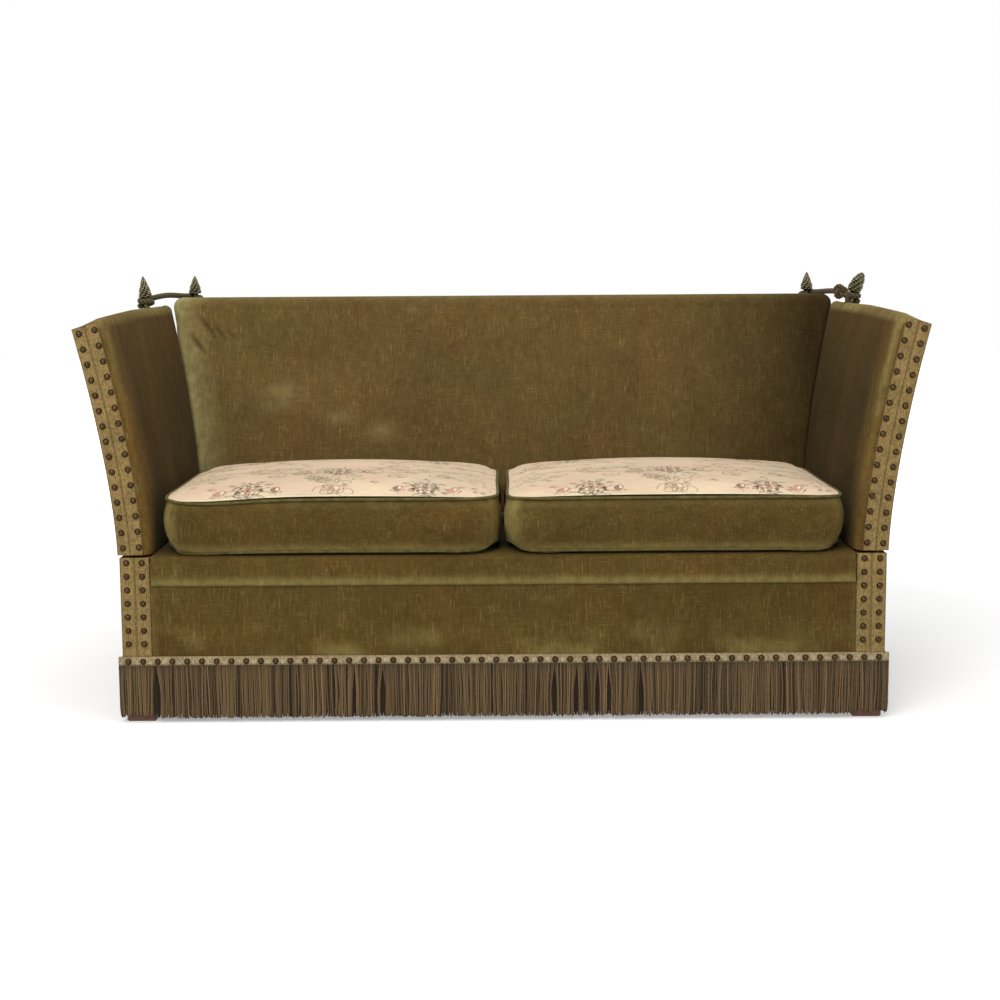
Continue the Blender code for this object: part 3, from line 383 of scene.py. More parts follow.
def braid_finish(name, dark, light, pitch=0.0046, knots=0.0):
    """Woven gimp: fine ribs along the strip crossed by its weft.

    A heading has pale knots and, below its nails, a foot darkened as painted shade."""
    made = Finish(name, 0.8, Specular_IOR_Level=0.2, Sheen_Weight=0.06)
    along, across = made.attribute("along"), made.attribute("across")
    weave = (
        along / pitch + made.math("PINGPONG", across / 0.0062, 0.5) * 1.2
    ).sine().ranged(-1.0, 1.0)
    ribs = across.sine(0.0036).ranged(-1.0, 1.0)
    fleck = made.noise(240.0, 3.0, (1.0, 1.0, 0.7)).ranged(0.34, 0.66)
    share = weave * 0.20 + ribs * 0.30 + fleck * 0.50
    rosy = made.noise(60.0, 2.0).ranged(0.52, 0.68, 0.0, 0.4)
    colour = made.mix(rosy, made.mix(share, dark, light), srgb(156, 122, 92))
    if knots:
        beat = (along / knots + 0.25).sine().ranged(0.2, 1.0, 0.0, 0.75)
        middle = made.math("PINGPONG", across / 0.022, 0.5).ranged(0.18, 0.42)
        colour = made.mix(beat * middle * fleck, colour, srgb(196, 186, 152))
        colour = made.brighten(colour, across.ranged(0.001, 0.008, 0.58, 1.0))
    # Painted shade in the grooves along the braids' edges
    groove = made.attribute("groove").ranged(0.0, 1.0, 1.0, 0.50)
    cloud = made.noise(24.0, 3.0).ranged(0.3, 0.7, 0.85, 1.12)
    return made.done(made.brighten(colour, cloud, groove), made.bump(share, 0.5, 0.0008))


def fringe_finish():
    """Twisted strands, each a little lighter or darker than the next, with painted shade in the
    grooves between plies, close under the heading and over the back row.
    """
    made = Finish("fringe_strand", 0.85, Specular_IOR_Level=0.15, Sheen_Weight=0.10)
    colour = made.mix(made.attribute("shade"), srgb(40, 30, 17), srgb(145, 118, 81))
    ply = made.attribute("ply").ranged(0.0, 1.0, 0.70, 1.12)
    speck = made.noise(700.0, 2.0).ranged(0.3, 0.7, 0.82, 1.18)
    return made.done(
        made.brighten(colour, ply, speck), made.bump(made.noise(1600.0, 1.0), 0.3, 0.0004)
    )


def tapestry_finish():
    """Flat weave that carries the painted pattern, with its warp and weft in relief."""
    made = Finish("tapestry_weave", 0.9, Specular_IOR_Level=0.1, Sheen_Weight=0.05)
    x, y, _ = made.axes(made.where())
    weave = (x.sine(0.0017) * y.sine(0.0012)).ranged(-1.0, 1.0)
    cloud = made.noise(9.0, 3.0).ranged(0.3, 0.7, 0.98, 1.10)
    slub = made.noise(260.0, 2.0, (0.08, 1.0, 1.0)).ranged(0.3, 0.7, 0.93, 1.06)
    thread = weave.ranged(0.0, 1.0, 0.92, 1.05)
    colour = made.brighten(made.attribute("pattern", "Color"), cloud, thread, slub)
    return made.done(colour, made.bump(weave, 0.35, 0.0005))


def welt_finish():
    """Piping cut on the cross from the velvet."""
    made = Finish("velvet_piping", 0.85, Specular_IOR_Level=0.12, Sheen_Weight=0.06)
    cloud = made.noise(60.0, 3.0).ranged(0.3, 0.7)
    speck = made.noise(900.0, 2.0).ranged(0.3, 0.7, 0.85, 1.15)
    colour = made.brighten(made.mix(cloud, srgb(76, 66, 32), srgb(108, 98, 54)), speck)
    return made.done(colour, made.bump(made.noise(420.0, 2.0), 0.4, 0.0008))


def wood_finish(name, dark, light, roughness):
    """Fine grain that runs up the piece, with darker pores."""
    made = Finish(name, roughness, Specular_IOR_Level=0.4)
    rings = made.noise(70.0, 4.0, (1.0, 1.0, 0.06), 0.6, 1.2)
    pores = made.noise(900.0, 2.0, (1.0, 1.0, 0.04)).ranged(0.35, 0.65, 0.85, 1.08)
    colour = made.brighten(made.mix(rings.ranged(0.3, 0.7), dark, light), pores)
    rough = rings.ranged(0.3, 0.7, roughness - 0.06, roughness + 0.10)
    return made.done(colour, made.bump(pores, 0.25, 0.0004), rough)


def metal_finish(name, dark, light, roughness, patina_scale=240.0):
    """Cast brass with darker patina in patches; darker in its hollows and round a nail head's rim,
    partly patina and partly painted shade.
    """
    made = Finish(name, roughness, 1.0)
    patina = made.noise(patina_scale, 4.0).ranged(0.36, 0.66)
    share = (patina * 0.5 + 0.5) * made.attribute("proud").ranged(0.0, 1.0)
    rough = share.ranged(0.0, 1.0, roughness + 0.25, roughness)
    return made.done(
        made.mix(share, dark, light), made.bump(made.noise(700.0, 3.0), 0.15, 0.0003), rough
    )


def cloth_finish(name, dark, light, pitch):
    """Plain weave."""
    made = Finish(name, 0.92, Specular_IOR_Level=0.1)
    x, y, z = made.axes(made.where())
    weave = (x.sine(pitch) * (y + z).sine(pitch)).ranged(-1.0, 1.0)
    fleck = (weave * 0.5 + made.noise(300.0, 3.0)).ranged(0.3, 1.2)
    return made.done(made.mix(fleck, dark, light), made.bump(weave, 0.4, 0.0006))


def rope_finish():
    """Three-ply cord, with painted shade between its plies."""
    made = Finish("rope_strand", 0.8, Specular_IOR_Level=0.15, Sheen_Weight=0.12)
    colour = made.mix(made.attribute("ply"), srgb(26, 21, 12), srgb(98, 86, 56))
    fibre = made.noise(800.0, 2.0).ranged(0.3, 0.7, 0.78, 1.2)
    return made.done(made.brighten(colour, fibre), made.bump(made.noise(1200.0, 2.0), 0.4, 0.0005))


# Meshes


def unit(value):
    return np.clip(value, 0, 1)


def bell(value, width):
    return np.exp(-((value / width) ** 2))


def eased(share):
    return share * share * (3 - 2 * share)


def mesh_object(name, points, faces, finish, sharp=None):
    data = bpy.data.meshes.new(name)
    data.from_pydata(points.tolist(), [], [list(face) for face in faces])
    data.materials.append(finish)
    data.shade_smooth()
    if sharp:
        data.set_sharp_from_angle(angle=math.radians(sharp))
    return add_object(name, data)


def set_values(made, shape=None, **layers):
    """Values for a material, point by point, or spread over a grid of that shape."""
    count = len(made.data.vertices)
    for name, values in layers.items():
        values = np.asarray(values, dtype=np.float32)
        values = (np.broadcast_to(values, shape) if shape else values).ravel()
        ends = np.full(count - len(values), values.mean())  # the middles of a loft's ends
        layer = made.data.attributes.new(name, "FLOAT", "POINT")
        layer.data.foreach_set("value", np.concatenate([values, ends]).astype(np.float32))
    return made


def coordinates(data):
    found = np.empty(len(data.vertices) * 3, dtype=np.float32)
    data.vertices.foreach_get("co", found)
    return found.reshape(-1, 3).astype(float)


def grid_faces(rows, columns, start=0, closed=False):
    """Quads of a grid of points, row by row; closed joins each row's last point to its first."""
    row = np.arange(rows - 1)[:, None]
    column = np.arange(columns if closed else columns - 1)[None, :]
    following = (column + 1) % columns
    corners = (
        row * columns + column, row * columns + following,
        (row + 1) * columns + following, (row + 1) * columns + column,
    )
    return np.stack(corners, axis=-1).reshape(-1, 4) + start


def grid_object(name, points, finish):
    return mesh_object(name, points.reshape(-1, 3), grid_faces(*points.shape[:2]), finish)


def quad_volume(points, quads):
    a, b, c, d = (points[quads[:, i]] for i in range(4))
    first = np.einsum("ij,ij->i", a, np.cross(b, c)).sum()
    return first + np.einsum("ij,ij->i", a, np.cross(c, d)).sum()


def outward(points, quads):
    """The quads of a closed body, facing out of it."""
    inside_out = quad_volume(points - points.mean(axis=0), quads) < 0
    return quads[:, ::-1] if inside_out else quads


def loft_object(name, rings, finish, sharp=None, **layers):
    """A closed body through rings of points, with a fan on each end."""
    rows, columns = rings.shape[:2]
    points = rings.reshape(-1, 3)
    quads = grid_faces(rows, columns, closed=True)
    ends = np.stack([rings[0].mean(axis=0), rings[-1].mean(axis=0)])
    inside_out = quad_volume(points - ends.mean(axis=0), quads) < 0
    first, base = rows * columns, (rows - 1) * columns
    faces = quads.tolist()
    for i in range(columns):
        j = (i + 1) % columns
        faces += [[first, j, i], [first + 1, base + i, base + j]]
    if inside_out:
        faces = [face[::-1] for face in faces]
    made = mesh_object(name, np.concatenate([points, ends]), faces, finish, sharp)
    return set_values(made, (rows, columns), **layers)


def circles(radius, height, angles):
    """Rings of points about an upright axis."""
    x, y = radius * np.cos(angles), radius * np.sin(angles)
    return np.stack(np.broadcast_arrays(x, y, height), axis=-1)


def round_angles(sides):
    return np.arange(sides) * TURN / sides


def quarter(steps):
    """(distance along, distance across) over a quarter of a round edge, as shares of its radius."""
    angles = [math.pi / 2 * i / steps for i in range(steps + 1)]
    return [(1 - math.cos(angle), math.sin(angle)) for angle in angles]


def place(x, depth, height):
    return np.stack(np.broadcast_arrays(x, depth - MIDDLE, height), axis=-1).astype(float)


def ripple(points, wavelength, seed, waves=14):
    """Smooth seeded unevenness, about -1 to 1, over points."""
    random = np.random.default_rng(seed)
    total = np.zeros(points.shape[:-1])
    for _ in range(waves):
        direction = random.normal(size=3)
        length = wavelength * random.uniform(0.7, 1.6)
        direction *= TURN / length / np.linalg.norm(direction)
        total += np.sin(points @ direction + random.uniform(0, TURN))
    return total / waves**0.5 / 1.4


def rounded(corners, radii, steps=6, counts=None):
    """A closed outline through 2-D corners, each rounded off by its radius.

    counts says into how many pieces the straight after each corner is cut."""
    corners = np.array(corners, float)
    arcs = []
    for i, (corner, radius) in enumerate(zip(corners, radii)):
        if not radius:
            arcs.append([corner])
            continue
        a, b = (corners[j % len(corners)] - corner for j in (i - 1, i + 1))
        a, b = a / np.linalg.norm(a), b / np.linalg.norm(b)
        half = math.acos(max(-1, min(1, float(a @ b)))) / 2
        middle = corner + (a + b) / np.linalg.norm(a + b) * radius / math.sin(half)
        start, end = (corner + way * radius / math.tan(half) - middle for way in (a, b))
        angle = math.atan2(start[1], start[0])
        sweep = (math.atan2(end[1], end[0]) - angle + math.pi) % TURN - math.pi
        angles = angle + sweep * np.arange(steps + 1) / steps
        arcs.append([middle + radius * np.array([math.cos(t), math.sin(t)]) for t in angles])
    found = []
    for arc, after, pieces in zip(arcs, arcs[1:] + arcs[:1], counts or [1] * len(arcs)):
        found += arc
        found += [arc[-1] + (after[0] - arc[-1]) * k / pieces for k in range(1, pieces)]
    return np.array(found)


def refined(outline, longest):
    """Splits the long edges of a closed outline; the same number of points for the same shape."""
    found = []
    for a, b in zip(outline, np.roll(outline, -1, axis=0)):
        count = max(1, int(math.ceil(np.linalg.norm(b - a) / longest)))
        found += [a + (b - a) * k / count for k in range(count)]
    return np.array(found)


def spread(low, high, edge, step):
    """Positions over a span, closer together within an edge's width of both ends."""
    turn = edge * np.array([along for along, _ in quarter(5)[:-1]])
    count = max(2, int((high - low - 2 * edge) / step) + 1)
    inner = np.linspace(low + edge, high - edge, count)
    return np.concatenate([low + turn, inner, (high - turn)[::-1]])


def panel(
    name, a_span, b_span, to_world, thick, edge, finish,
    puff=0.0, seed=1, uneven=0.0, scuffed=False,
):
    """A covered panel over two spans: flat behind, rounded off towards its edges in front."""
    spans = (a_span, b_span)
    grids = np.meshgrid(*(spread(*span, edge, PANEL_STEP) for span in spans), indexing="ij")
    near = np.min(
        [np.minimum(grid - low, high - grid) for grid, (low, high) in zip(grids, spans)], axis=0
    )
    fall = 1 - np.sqrt(1 - (1 - unit(near / edge)) ** 2)
    ease = eased(unit(near / PUFF_RUN))
    flat = to_world(*grids, 0 * near)
    out = thick * (1 - 0.92 * fall) + puff * ease + uneven * ease * ripple(flat, 0.09, seed)
    front = to_world(*grids, out)
    count = near.size
    index = np.arange(count).reshape(near.shape)
    rim = np.concatenate([index[:, 0], index[-1, 1:], index[-2::-1, -1], index[0, -2:0:-1]])
    ahead = np.roll(rim, -1)
    sides = np.stack([rim, ahead, ahead + count, rim + count], axis=1)
    under = grid_faces(*near.shape, count)[:, ::-1]
    points = np.concatenate([front.reshape(-1, 3), flat.reshape(-1, 3)])
    quads = outward(points, np.concatenate([grid_faces(*near.shape), under, sides]))
    # Paler towards the edges: a painted sheen highlight on the rounded edges, with some wear
    wear = unit(1 - near / 0.022) ** 2
    if scuffed:
        low = unit((0.215 - grids[1]) / 0.09)
        wear = unit(0.45 * wear + low * unit(ripple(front, 0.075, 9) + 0.1) * 0.7)
    return set_values(
        mesh_object(name, points, quads.tolist(), finish, 50), wear=np.stack([wear, wear])
    )


def dress(made, body, slot, *nodes, padded=None):
    """Puts a piece on a body, in place of CAD nodes; the slot it is given is not used."""
    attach(made, body)
    if nodes:
        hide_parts(*nodes)
    return made


# Shape of the back and the arms


def back_face(height):
    return BACK_FACE_AT_SPLIT + (height - BASE_TOP) * math.tan(BACK_RAKE)


def post_front(height):
    return back_face(height) + PAD_DEPTH + 0.002 + 2 * TOUCH


def flare(share):
    share = np.maximum(share, 0)
    return ARM_FLARE * share * np.sqrt(share)


def arm_lean(share):
    return np.arctan(ARM_FLARE / ARM_RISE * 1.5 * np.sqrt(np.maximum(share, 0)))


def arm_point(sign, depth, inward, rise):
    """A point of an arm from its distance in from the outer face and up the arm."""
    share = np.minimum(rise / ARM_RISE, 1.0)
    up = np.maximum(rise - ARM_RISE, 0.0)
    lean = arm_lean(share)
    x = ARM_FOOT_HALF + flare(share) - inward * np.cos(lean) + up * np.sin(lean)
    z = ARM_FOOT + share * ARM_RISE + inward * np.sin(lean) + up * np.cos(lean)
    return place(sign * x, depth, z)


def back_half(height):
    share = (height - ARM_FOOT) / ARM_RISE
    half = ARM_FOOT_HALF + flare(share) - ARM_THICKNESS / np.cos(arm_lean(share)) + BACK_OVER_ARM
    into_corner = np.clip(height - (BACK_CREST - BACK_CORNER), 0, BACK_CORNER)
    return half - BACK_CORNER + np.sqrt(BACK_CORNER**2 - into_corner**2)


# The base


def make_base(velvet, braid):
    inner = HALF_BASE - BAND_WIDTH + BAND_LAP
    front = panel(
        "front_apron", (-inner, inner), (RAIL_FOOT, FRONT_PANEL_TOP),
        lambda a, b, out: place(a, PANEL_FACE + FRONT_PANEL_THICKNESS - out, b),
        FRONT_PANEL_THICKNESS - 0.0004, 0.004, velvet, 0.0012, 3, 0.0006, True,
    )
    # Painted shade: the front darkens towards its right end
    set_values(front, tone=-0.16 * unit((coordinates(front.data)[:, 0] - 0.10) / 0.35))
    dress(front, "frame", "velvet", "front_panel", padded=0.9)
    heights = (RAIL_FOOT, BASE_TOP - TOUCH)
    for side, sign in SIDES.items():
        cover = panel(
            f"side_apron_{side}", (PANEL_FACE, BASE_DEPTH), heights,
            lambda a, b, out, sign=sign: place(sign * (COVER_BACK + TOUCH + out), a, b),
            COVER_THICKNESS, 0.0025, velvet, seed=5, uneven=0.0004,
        )
        dress(cover, "frame", "velvet", f"side_cover_{side}", padded=0.9)
    rear = panel(
        "rear_apron", (-COVER_BACK, COVER_BACK), heights,
        lambda a, b, out: place(a, FRAME_REAR + TOUCH + out, b),
        REAR_COVER_THICKNESS, 0.004, velvet, seed=6, uneven=0.0005,
    )
    dress(rear, "frame", "velvet", "rear_cover", padded=0.9)
    make_lip(velvet)
    for side, sign in SIDES.items():
        strip = strips(
            f"base_braid_{side}", BAND_WIDTH, HEADING_TOP + TOUCH, BASE_TOP - TOUCH,
            lambda across, proud, up, sign=sign: place(
                sign * (HALF_BASE - across), BAND_THICKNESS - proud, up
            ),
            braid,
        )
        dress(strip, "frame", "braid", f"base_band_{side}")


def make_lip(velvet):
    """The rolled edge over the front rail, slack enough to bulge along its foot."""
    foot, under = BASE_TOP - LIP_DROP, WEBBING_TOP + TOUCH
    corners = (
        (PANEL_FACE - TOUCH, foot), (-0.0055, foot + 0.001), (-0.0005, DECK_TOP - 0.001),
        (LIP_RUN, DECK_TOP), (LIP_RUN, under), (PANEL_FACE - TOUCH, under),
    )
    outline = refined(rounded(corners, (0, 0.0062, 0.012, 0.002, 0, 0), 8), 0.006)
    depth, height = outline.T
    half = COVER_BACK - LEG_WIDTH - TOUCH
    xs = spread(-half, half, 0.006, 0.008)
    rings = place(xs[:, None], depth, height)
    low = unit((DECK_TOP - height) / 0.06) * (depth < 0.004)
    sag = ripple(place(xs, 0.0, 0.0), 0.16, 11)[:, None] * 0.0011 * low
    rings[:, :, 1] += sag + ripple(rings, 0.05, 12) * 0.0005 * low
    # Paler along the roll's foot: a painted sheen highlight there, with some wear
    wear = 0.75 * bell(height - foot - 0.007, 0.010) * (depth < 0.002)
    made = loft_object("front_roll", rings, velvet, 50, wear=wear)
    dress(made, "frame", "velvet", "front_lip", padded=0.7)


def strips(name, width, low, high, to_world, finish):
    """Two gimp braids side by side, each a little domed, with scalloped edges between."""
    base, half = BAND_THICKNESS * 0.45, width / 2
    shares = np.linspace(0, 1, 13)
    flat = half * (0.01 + 0.98 * shares)
    dome = base + (BAND_THICKNESS - base) * np.sin(math.pi * shares) ** 0.35
    across = np.array([0.0, *flat, *(half + flat), width])
    proud = np.array([0.0, *dome, *dome, 0.0])
    along = np.linspace(low, high, max(2, int((high - low) / 0.004)))[:, None]
    ribs = 0.00018 * np.sin(along * TURN / 0.0092) * (proud > base)
    groove = unit((np.abs((across / half) % 1.0 - 0.5) * 2 - 0.80) / 0.2)
    rings = to_world(across + 0 * along, proud + ribs, along)
    return loft_object(name, rings, finish, along=along, across=across, groove=groove)


# Shares of a nail head's radius and height, ring by ring, and how little patina is on it; the low
# rings come out darker, partly as painted shade
NAIL_RINGS = np.array((
    (1.0, 0.0, 0.0), (1.0, 0.10, 0.0), (0.94, 0.36, 0.15), (0.76, 0.66, 0.55), (0.46, 0.90, 0.95),
    (0.16, 0.99, 1.0),
))
NAIL_SIDES = 14


def nails(name, spots, way, finish, body):
    """Domed nail heads that all face one way."""
    radius, height, proud = NAIL_RINGS.T[..., None]
    head = circles(
        NAIL_RADIUS * radius, NAIL_HEIGHT * height, round_angles(NAIL_SIDES)
    ).reshape(-1, 3)
    turn = np.array(Vector(way).to_track_quat("Z", "Y").to_matrix())
    head = np.concatenate([head, [(0, 0, NAIL_HEIGHT)]]) @ turn.T
    last = len(head) - 1
    top = last - NAIL_SIDES
    one = grid_faces(len(NAIL_RINGS), NAIL_SIDES, closed=True).tolist()
    one += [[top + j, top + (j + 1) % NAIL_SIDES, last] for j in range(NAIL_SIDES)]
    one.append(list(range(NAIL_SIDES))[::-1])
    faces = [[corner + i * len(head) for corner in face] for i in range(len(spots)) for face in one]
    made = mesh_object(name, (np.array(spots)[:, None] + head).reshape(-1, 3), faces, finish)
    set_values(made, proud=np.tile([*np.repeat(proud, NAIL_SIDES), 1.0], len(spots)))
    return dress(made, body, "antique_brass")


def make_base_nails(finish):
    heights = np.linspace(0.163, 0.330, 7)
    for side, sign in SIDES.items():
        rows = [
            place(sign * (HALF_BASE - across), -NAIL_SINK, heights) for across in (0.0140, 0.0455)
        ]
        nails(f"nails_base_{side}", np.concatenate(rows), (0, -1, 0), finish, "frame")
    height = (HEADING_TOP + HEADING_FOOT) / 2 + 0.001
    out = TOUCH + HEADING_THICKNESS
    xs = np.linspace(0.012 - HALF_BASE, HALF_BASE - 0.012, 52)
    depths = np.linspace(0.018, BASE_DEPTH - 0.018, 25)
    for side, way, spots in (
        ("front", (0, -1, 0), place(xs, PANEL_FACE - HEADING_THICKNESS, height)),
        ("rear", (0, 1, 0), place(xs, BASE_DEPTH + out, height)),
        ("left", (-1, 0, 0), place(-HALF_BASE - out, depths, height)),
        ("right", (1, 0, 0), place(HALF_BASE + out, depths, height)),
    ):
        nails(f"nails_heading_{side}", spots, way, finish, "frame")


# Fringe


# Where the front's strands part, and by how much
PARTINGS = (
    (-0.704, 0.0075), (-0.303, 0.0060), (-0.246, 0.0060), (0.1025, 0.0070), (0.148, 0.0060),
    (0.166, 0.0060), (0.192, 0.0060), (0.211, 0.0055), (0.280, 0.0060),
)
# Rows of the fringe, back to front: pitch, radius, widening, distance out, rings, sides, shade; the
# back row is coloured dark as painted shade between the front strands
FRINGE_ROWS = (
    (0.0054, 0.0020, 1.9, 0.0021, 9, 6, (0.17, 0.05)),
    (0.0035, 0.0018, 1.0, 0.0056, 20, 7, (0.52, 0.20)),
)


def make_fringe(strand, braid):
    out_x, rear = HALF_BASE + TOUCH, BASE_DEPTH + TOUCH
    wide = (-out_x - FRINGE_THICKNESS, out_x + FRINGE_THICKNESS)
    deep = (PANEL_FACE, BASE_DEPTH)
    for seed, side, span, to_world in (
        (21, "front", wide, lambda a, out, z: place(a, PANEL_FACE - TOUCH - out, z)),
        (22, "rear", wide, lambda a, out, z: place(a, rear + out, z)),
        (23, "left", deep, lambda a, out, z: place(-(out_x + out), a, z)),
        (24, "right", deep, lambda a, out, z: place(out_x + out, a, z)),
    ):
        hanging = strands(f"fringe_strands_{side}", *span, to_world, strand, seed)
        dress(hanging, "frame", "fringe", f"fringe_{side}")
        heading = heading_strip(f"fringe_heading_{side}", *span, to_world, braid)
        dress(heading, "frame", "fringe")


def heading_strip(name, low, high, to_world, finish):
    """The woven heading that the strands hang from."""
    along = np.linspace(low, high, int((high - low) / 0.004))[:, None]
    height = HEADING_TOP - HEADING_FOOT
    shares = np.linspace(0, 1, 11)
    thick = HEADING_THICKNESS * (0.55 + 0.45 * np.sin(math.pi * shares) ** 0.5)
    up = np.array([0.0, *(height * shares), height])
    out = np.array([0.0, *thick, 0.0])
    scallop = 0.0005 * np.sin(along * TURN / 0.0075) * (out > 0)
    rings = to_world(along, out + scallop, HEADING_FOOT + up)
    return loft_object(name, rings, finish, along=along, across=up)


def strands(name, low, high, to_world, finish, seed):
    """Twisted strands side by side, gathered and parted, in front of a dense row coloured dark as
    painted shade.
    """
    random = np.random.default_rng(seed)
    front = name.endswith("front")
    top = HEADING_FOOT + 0.004
    points, quads, shade, ply = [], [], [], []
    total = 0
    for row, (pitch, radius, widen, out_by, rings, sides, tint) in enumerate(FRINGE_ROWS):
        count = int((high - low) / pitch)
        share = np.linspace(0, 1, rings)
        angles = round_angles(sides)
        spots = low + (high - low) * (np.arange(count) + 0.5) / count
        gather = ripple(place(spots, 0.0, 0.0) * (1, 0, 0), 0.045, seed) * 0.0028
        under = 1 - 0.35 * np.exp(-share / 0.08)  # painted shade, darker close under the heading
        for number, a in enumerate(spots):
            over_leg = 0.006 if front and abs(a) > 0.706 else 0.0
            end = FRINGE_FOOT + random.uniform(-0.001, 0.003) + over_leg
            drift = (gather[number] + random.normal(0, 0.0009)) * row
            bow = random.normal(0, 0.0008) * row
            shadow = 1.0
            for spot, push in PARTINGS if front else ():
                apart = (a - spot) / 0.010
                moved = row * math.copysign(push, apart) * math.exp(-abs(apart))
                drift += moved
                bow += 0.5 * moved
                shadow *= 1 - math.exp(-(apart**2)) * (1 - row)
            shift = drift * share**1.3 + bow * np.sin(math.pi * share) ** 2
            out = out_by + 0.0004 * random.normal() * share * row
            out = np.clip(out, radius, FRINGE_THICKNESS + 0.0008 - radius)
            taper = 1 - 0.35 * unit((share - 0.97) / 0.03)
            twist = share * (top - end) / 0.0085 + random.uniform()
            wave = np.cos(2 * (angles - TURN / 2 * twist[:, None]))
            reach = radius * (0.84 + 0.16 * wave * row) * taper[:, None]
            along = a + shift[:, None] + reach * widen * np.cos(angles)
            z = top + (end - top) * share[:, None]
            points.append(to_world(along, out[:, None] + reach * np.sin(angles), z).reshape(-1, 3))
            tone = np.clip(random.normal(*tint), 0.02, 1) * shadow
            shade.append(np.repeat(tone * under, sides))
            ply.append(((1 + wave) / 2).ravel() * row + 0.5 * (1 - row))
        one = outward(points[-1], grid_faces(rings, sides, closed=True))
        starts = total + np.arange(count)[:, None] * rings * sides
        quads += (one + starts[:, None]).reshape(-1, 4).tolist()
        for foot in (starts + np.arange((rings - 1) * sides, rings * sides)).tolist():
            quads += [foot, foot[::-1]]
        total += count * rings * sides
    made = mesh_object(name, np.concatenate(points), quads, finish)
    return set_values(made, shade=np.concatenate(shade), ply=np.concatenate(ply))


# The back


FACE_ROWS = 110
BACK_COLUMNS = 320
BACK_EDGE = 0.013
FOOT_OF_WEAR_AND_SHEEN = 0.36
# Soft dents: place, angle, length, width, depth
DENTS = (
    (-0.700, 0.772, -0.85, 0.034, 0.0065, 0.0075),
    (-0.676, 0.766, -0.85, 0.026, 0.0060, 0.0060),
    (-0.648, 0.760, -0.70, 0.022, 0.0060, 0.0045),
    (-0.738, 0.752, -0.95, 0.030, 0.0065, 0.0070),
    (-0.722, 0.730, -0.80, 0.024, 0.0060, 0.0055),
)
# Worn patches: place, width, height, strength
PALE_PATCHES = (
    (-0.528, 0.622, 0.036, 0.026, 0.62), (-0.545, 0.590, 0.040, 0.016, 0.40),
    (-0.390, 0.566, 0.034, 0.016, 0.62), (-0.280, 0.533, 0.032, 0.022, 0.66),
    (-0.216, 0.820, 0.018, 0.010, 0.50), (-0.46, 0.64, 0.12, 0.06, 0.18),
)


def back_section(across):
    """One ring of the back pad, from its foot up the face, over the crest and down behind."""
    foot = DECK_TOP + TOUCH
    shoulder = BACK_CREST - BACK_CREST_RUN
    rear = post_front(BACK_REAR_TOP) + POST_DEPTH
    crest = back_face(shoulder) + BACK_CREST_RUN
    under = BACK_REAR_TOP - TOP_COVER + TOUCH
    rise = np.linspace(0, 1, FACE_ROWS)
    heights = foot + (shoulder - foot) * rise
    face = np.stack(
        [back_face(heights) - BACK_BULGE * np.sin(math.pi * rise) ** 0.5 * across, heights], axis=1
    )
    face[0] = back_face(foot) + TOUCH, foot
    over = [
        (back_face(shoulder) + BACK_CREST_RUN * along, shoulder + BACK_CREST_RUN * up)
        for along, up in quarter(8)[1:]
    ]
    top = [
        (crest + (rear - crest) * share, BACK_CREST - BACK_REAR_DROP * share**1.7)
        for share in np.arange(1, 9) / 8
    ]
    behind = [
        (rear, under), (back_face(under) + PAD_DEPTH, under), (back_face(foot) + PAD_DEPTH, foot)
    ]
    return np.concatenate([face, over, top, behind])


def back_end(sign, along, across):
    """One ring of the rounded end of the back pad."""
    depth, height = back_section(across).T
    in_front = depth < back_face(height) + PAD_DEPTH / 2
    x = sign * (back_half(height) - BACK_EDGE * along)
    return place(x, depth + np.where(in_front, BACK_EDGE * (1 - across), 0), height)


def dents(x, z):
    """(depth, distance across over width, shape) of each dent, over the back's face."""
    for dx, dz, angle, length, width, deep in DENTS:
        along = (x - dx) * math.cos(angle) + (z - dz) * math.sin(angle)
        across = -(x - dx) * math.sin(angle) + (z - dz) * math.cos(angle)
        yield deep, across / width, bell(along, length)


def patches(x, z):
    return sum(
        much * bell(x - px, wide) * bell(z - pz, tall) for px, pz, wide, tall, much in PALE_PATCHES
    )


def make_back(velvet):
    depth, height = back_section(1.0).T
    shares = 1 - 2 * np.arange(1, BACK_COLUMNS) / BACK_COLUMNS
    ends = quarter(9)
    points = np.array(
        [back_end(1, *end) for end in ends]
        + [place((back_half(height) - BACK_EDGE) * share, depth, height) for share in shares]
        + [back_end(-1, *end) for end in reversed(ends)]
    )
    x, y, z = np.moveaxis(points, -1, 0)
    inner = unit((back_half(z) - np.abs(x)) / 0.05) * (np.arange(points.shape[1]) < FACE_ROWS)
    y += (ripple(points, 0.22, 31) * 0.0016 + ripple(points, 0.07, 32) * 0.0005) * inner
    for deep, across, shape in dents(x, z):
        y += deep * shape * bell(across, 1) * inner
    into = unit((y + MIDDLE - back_face(z)) / 0.06)
    tuck = 0.0085 * unit((z - 0.745) / 0.05) ** 1.5 * (1 - into) * (x < 0)
    half = back_half(z)
    x -= np.sign(x) * tuck * unit((np.abs(x) - half + 0.06) / 0.05)
    # Paler along the left edge, over the crest and in a broad strip at the left end: painted sheen
    # highlight; paler in the worn patches: real wear
    above = z > FOOT_OF_WEAR_AND_SHEEN
    wear = 0.35 * bell(half - np.abs(x), 0.014) * above * (x < 0)
    wear += 0.3 * bell(z - BACK_CREST, 0.006) + 0.42 * patches(x, z)
    wear += 0.85 * unit(1 - (half + x) / 0.085) ** 1.1 * above
    made = loft_object("back_cushioning", points, velvet, 60, wear=unit(wear), tone=back_tone(x, z))
    dress(made, "frame", "velvet", "back_pad", padded=0.75)
    make_outer_back(velvet)


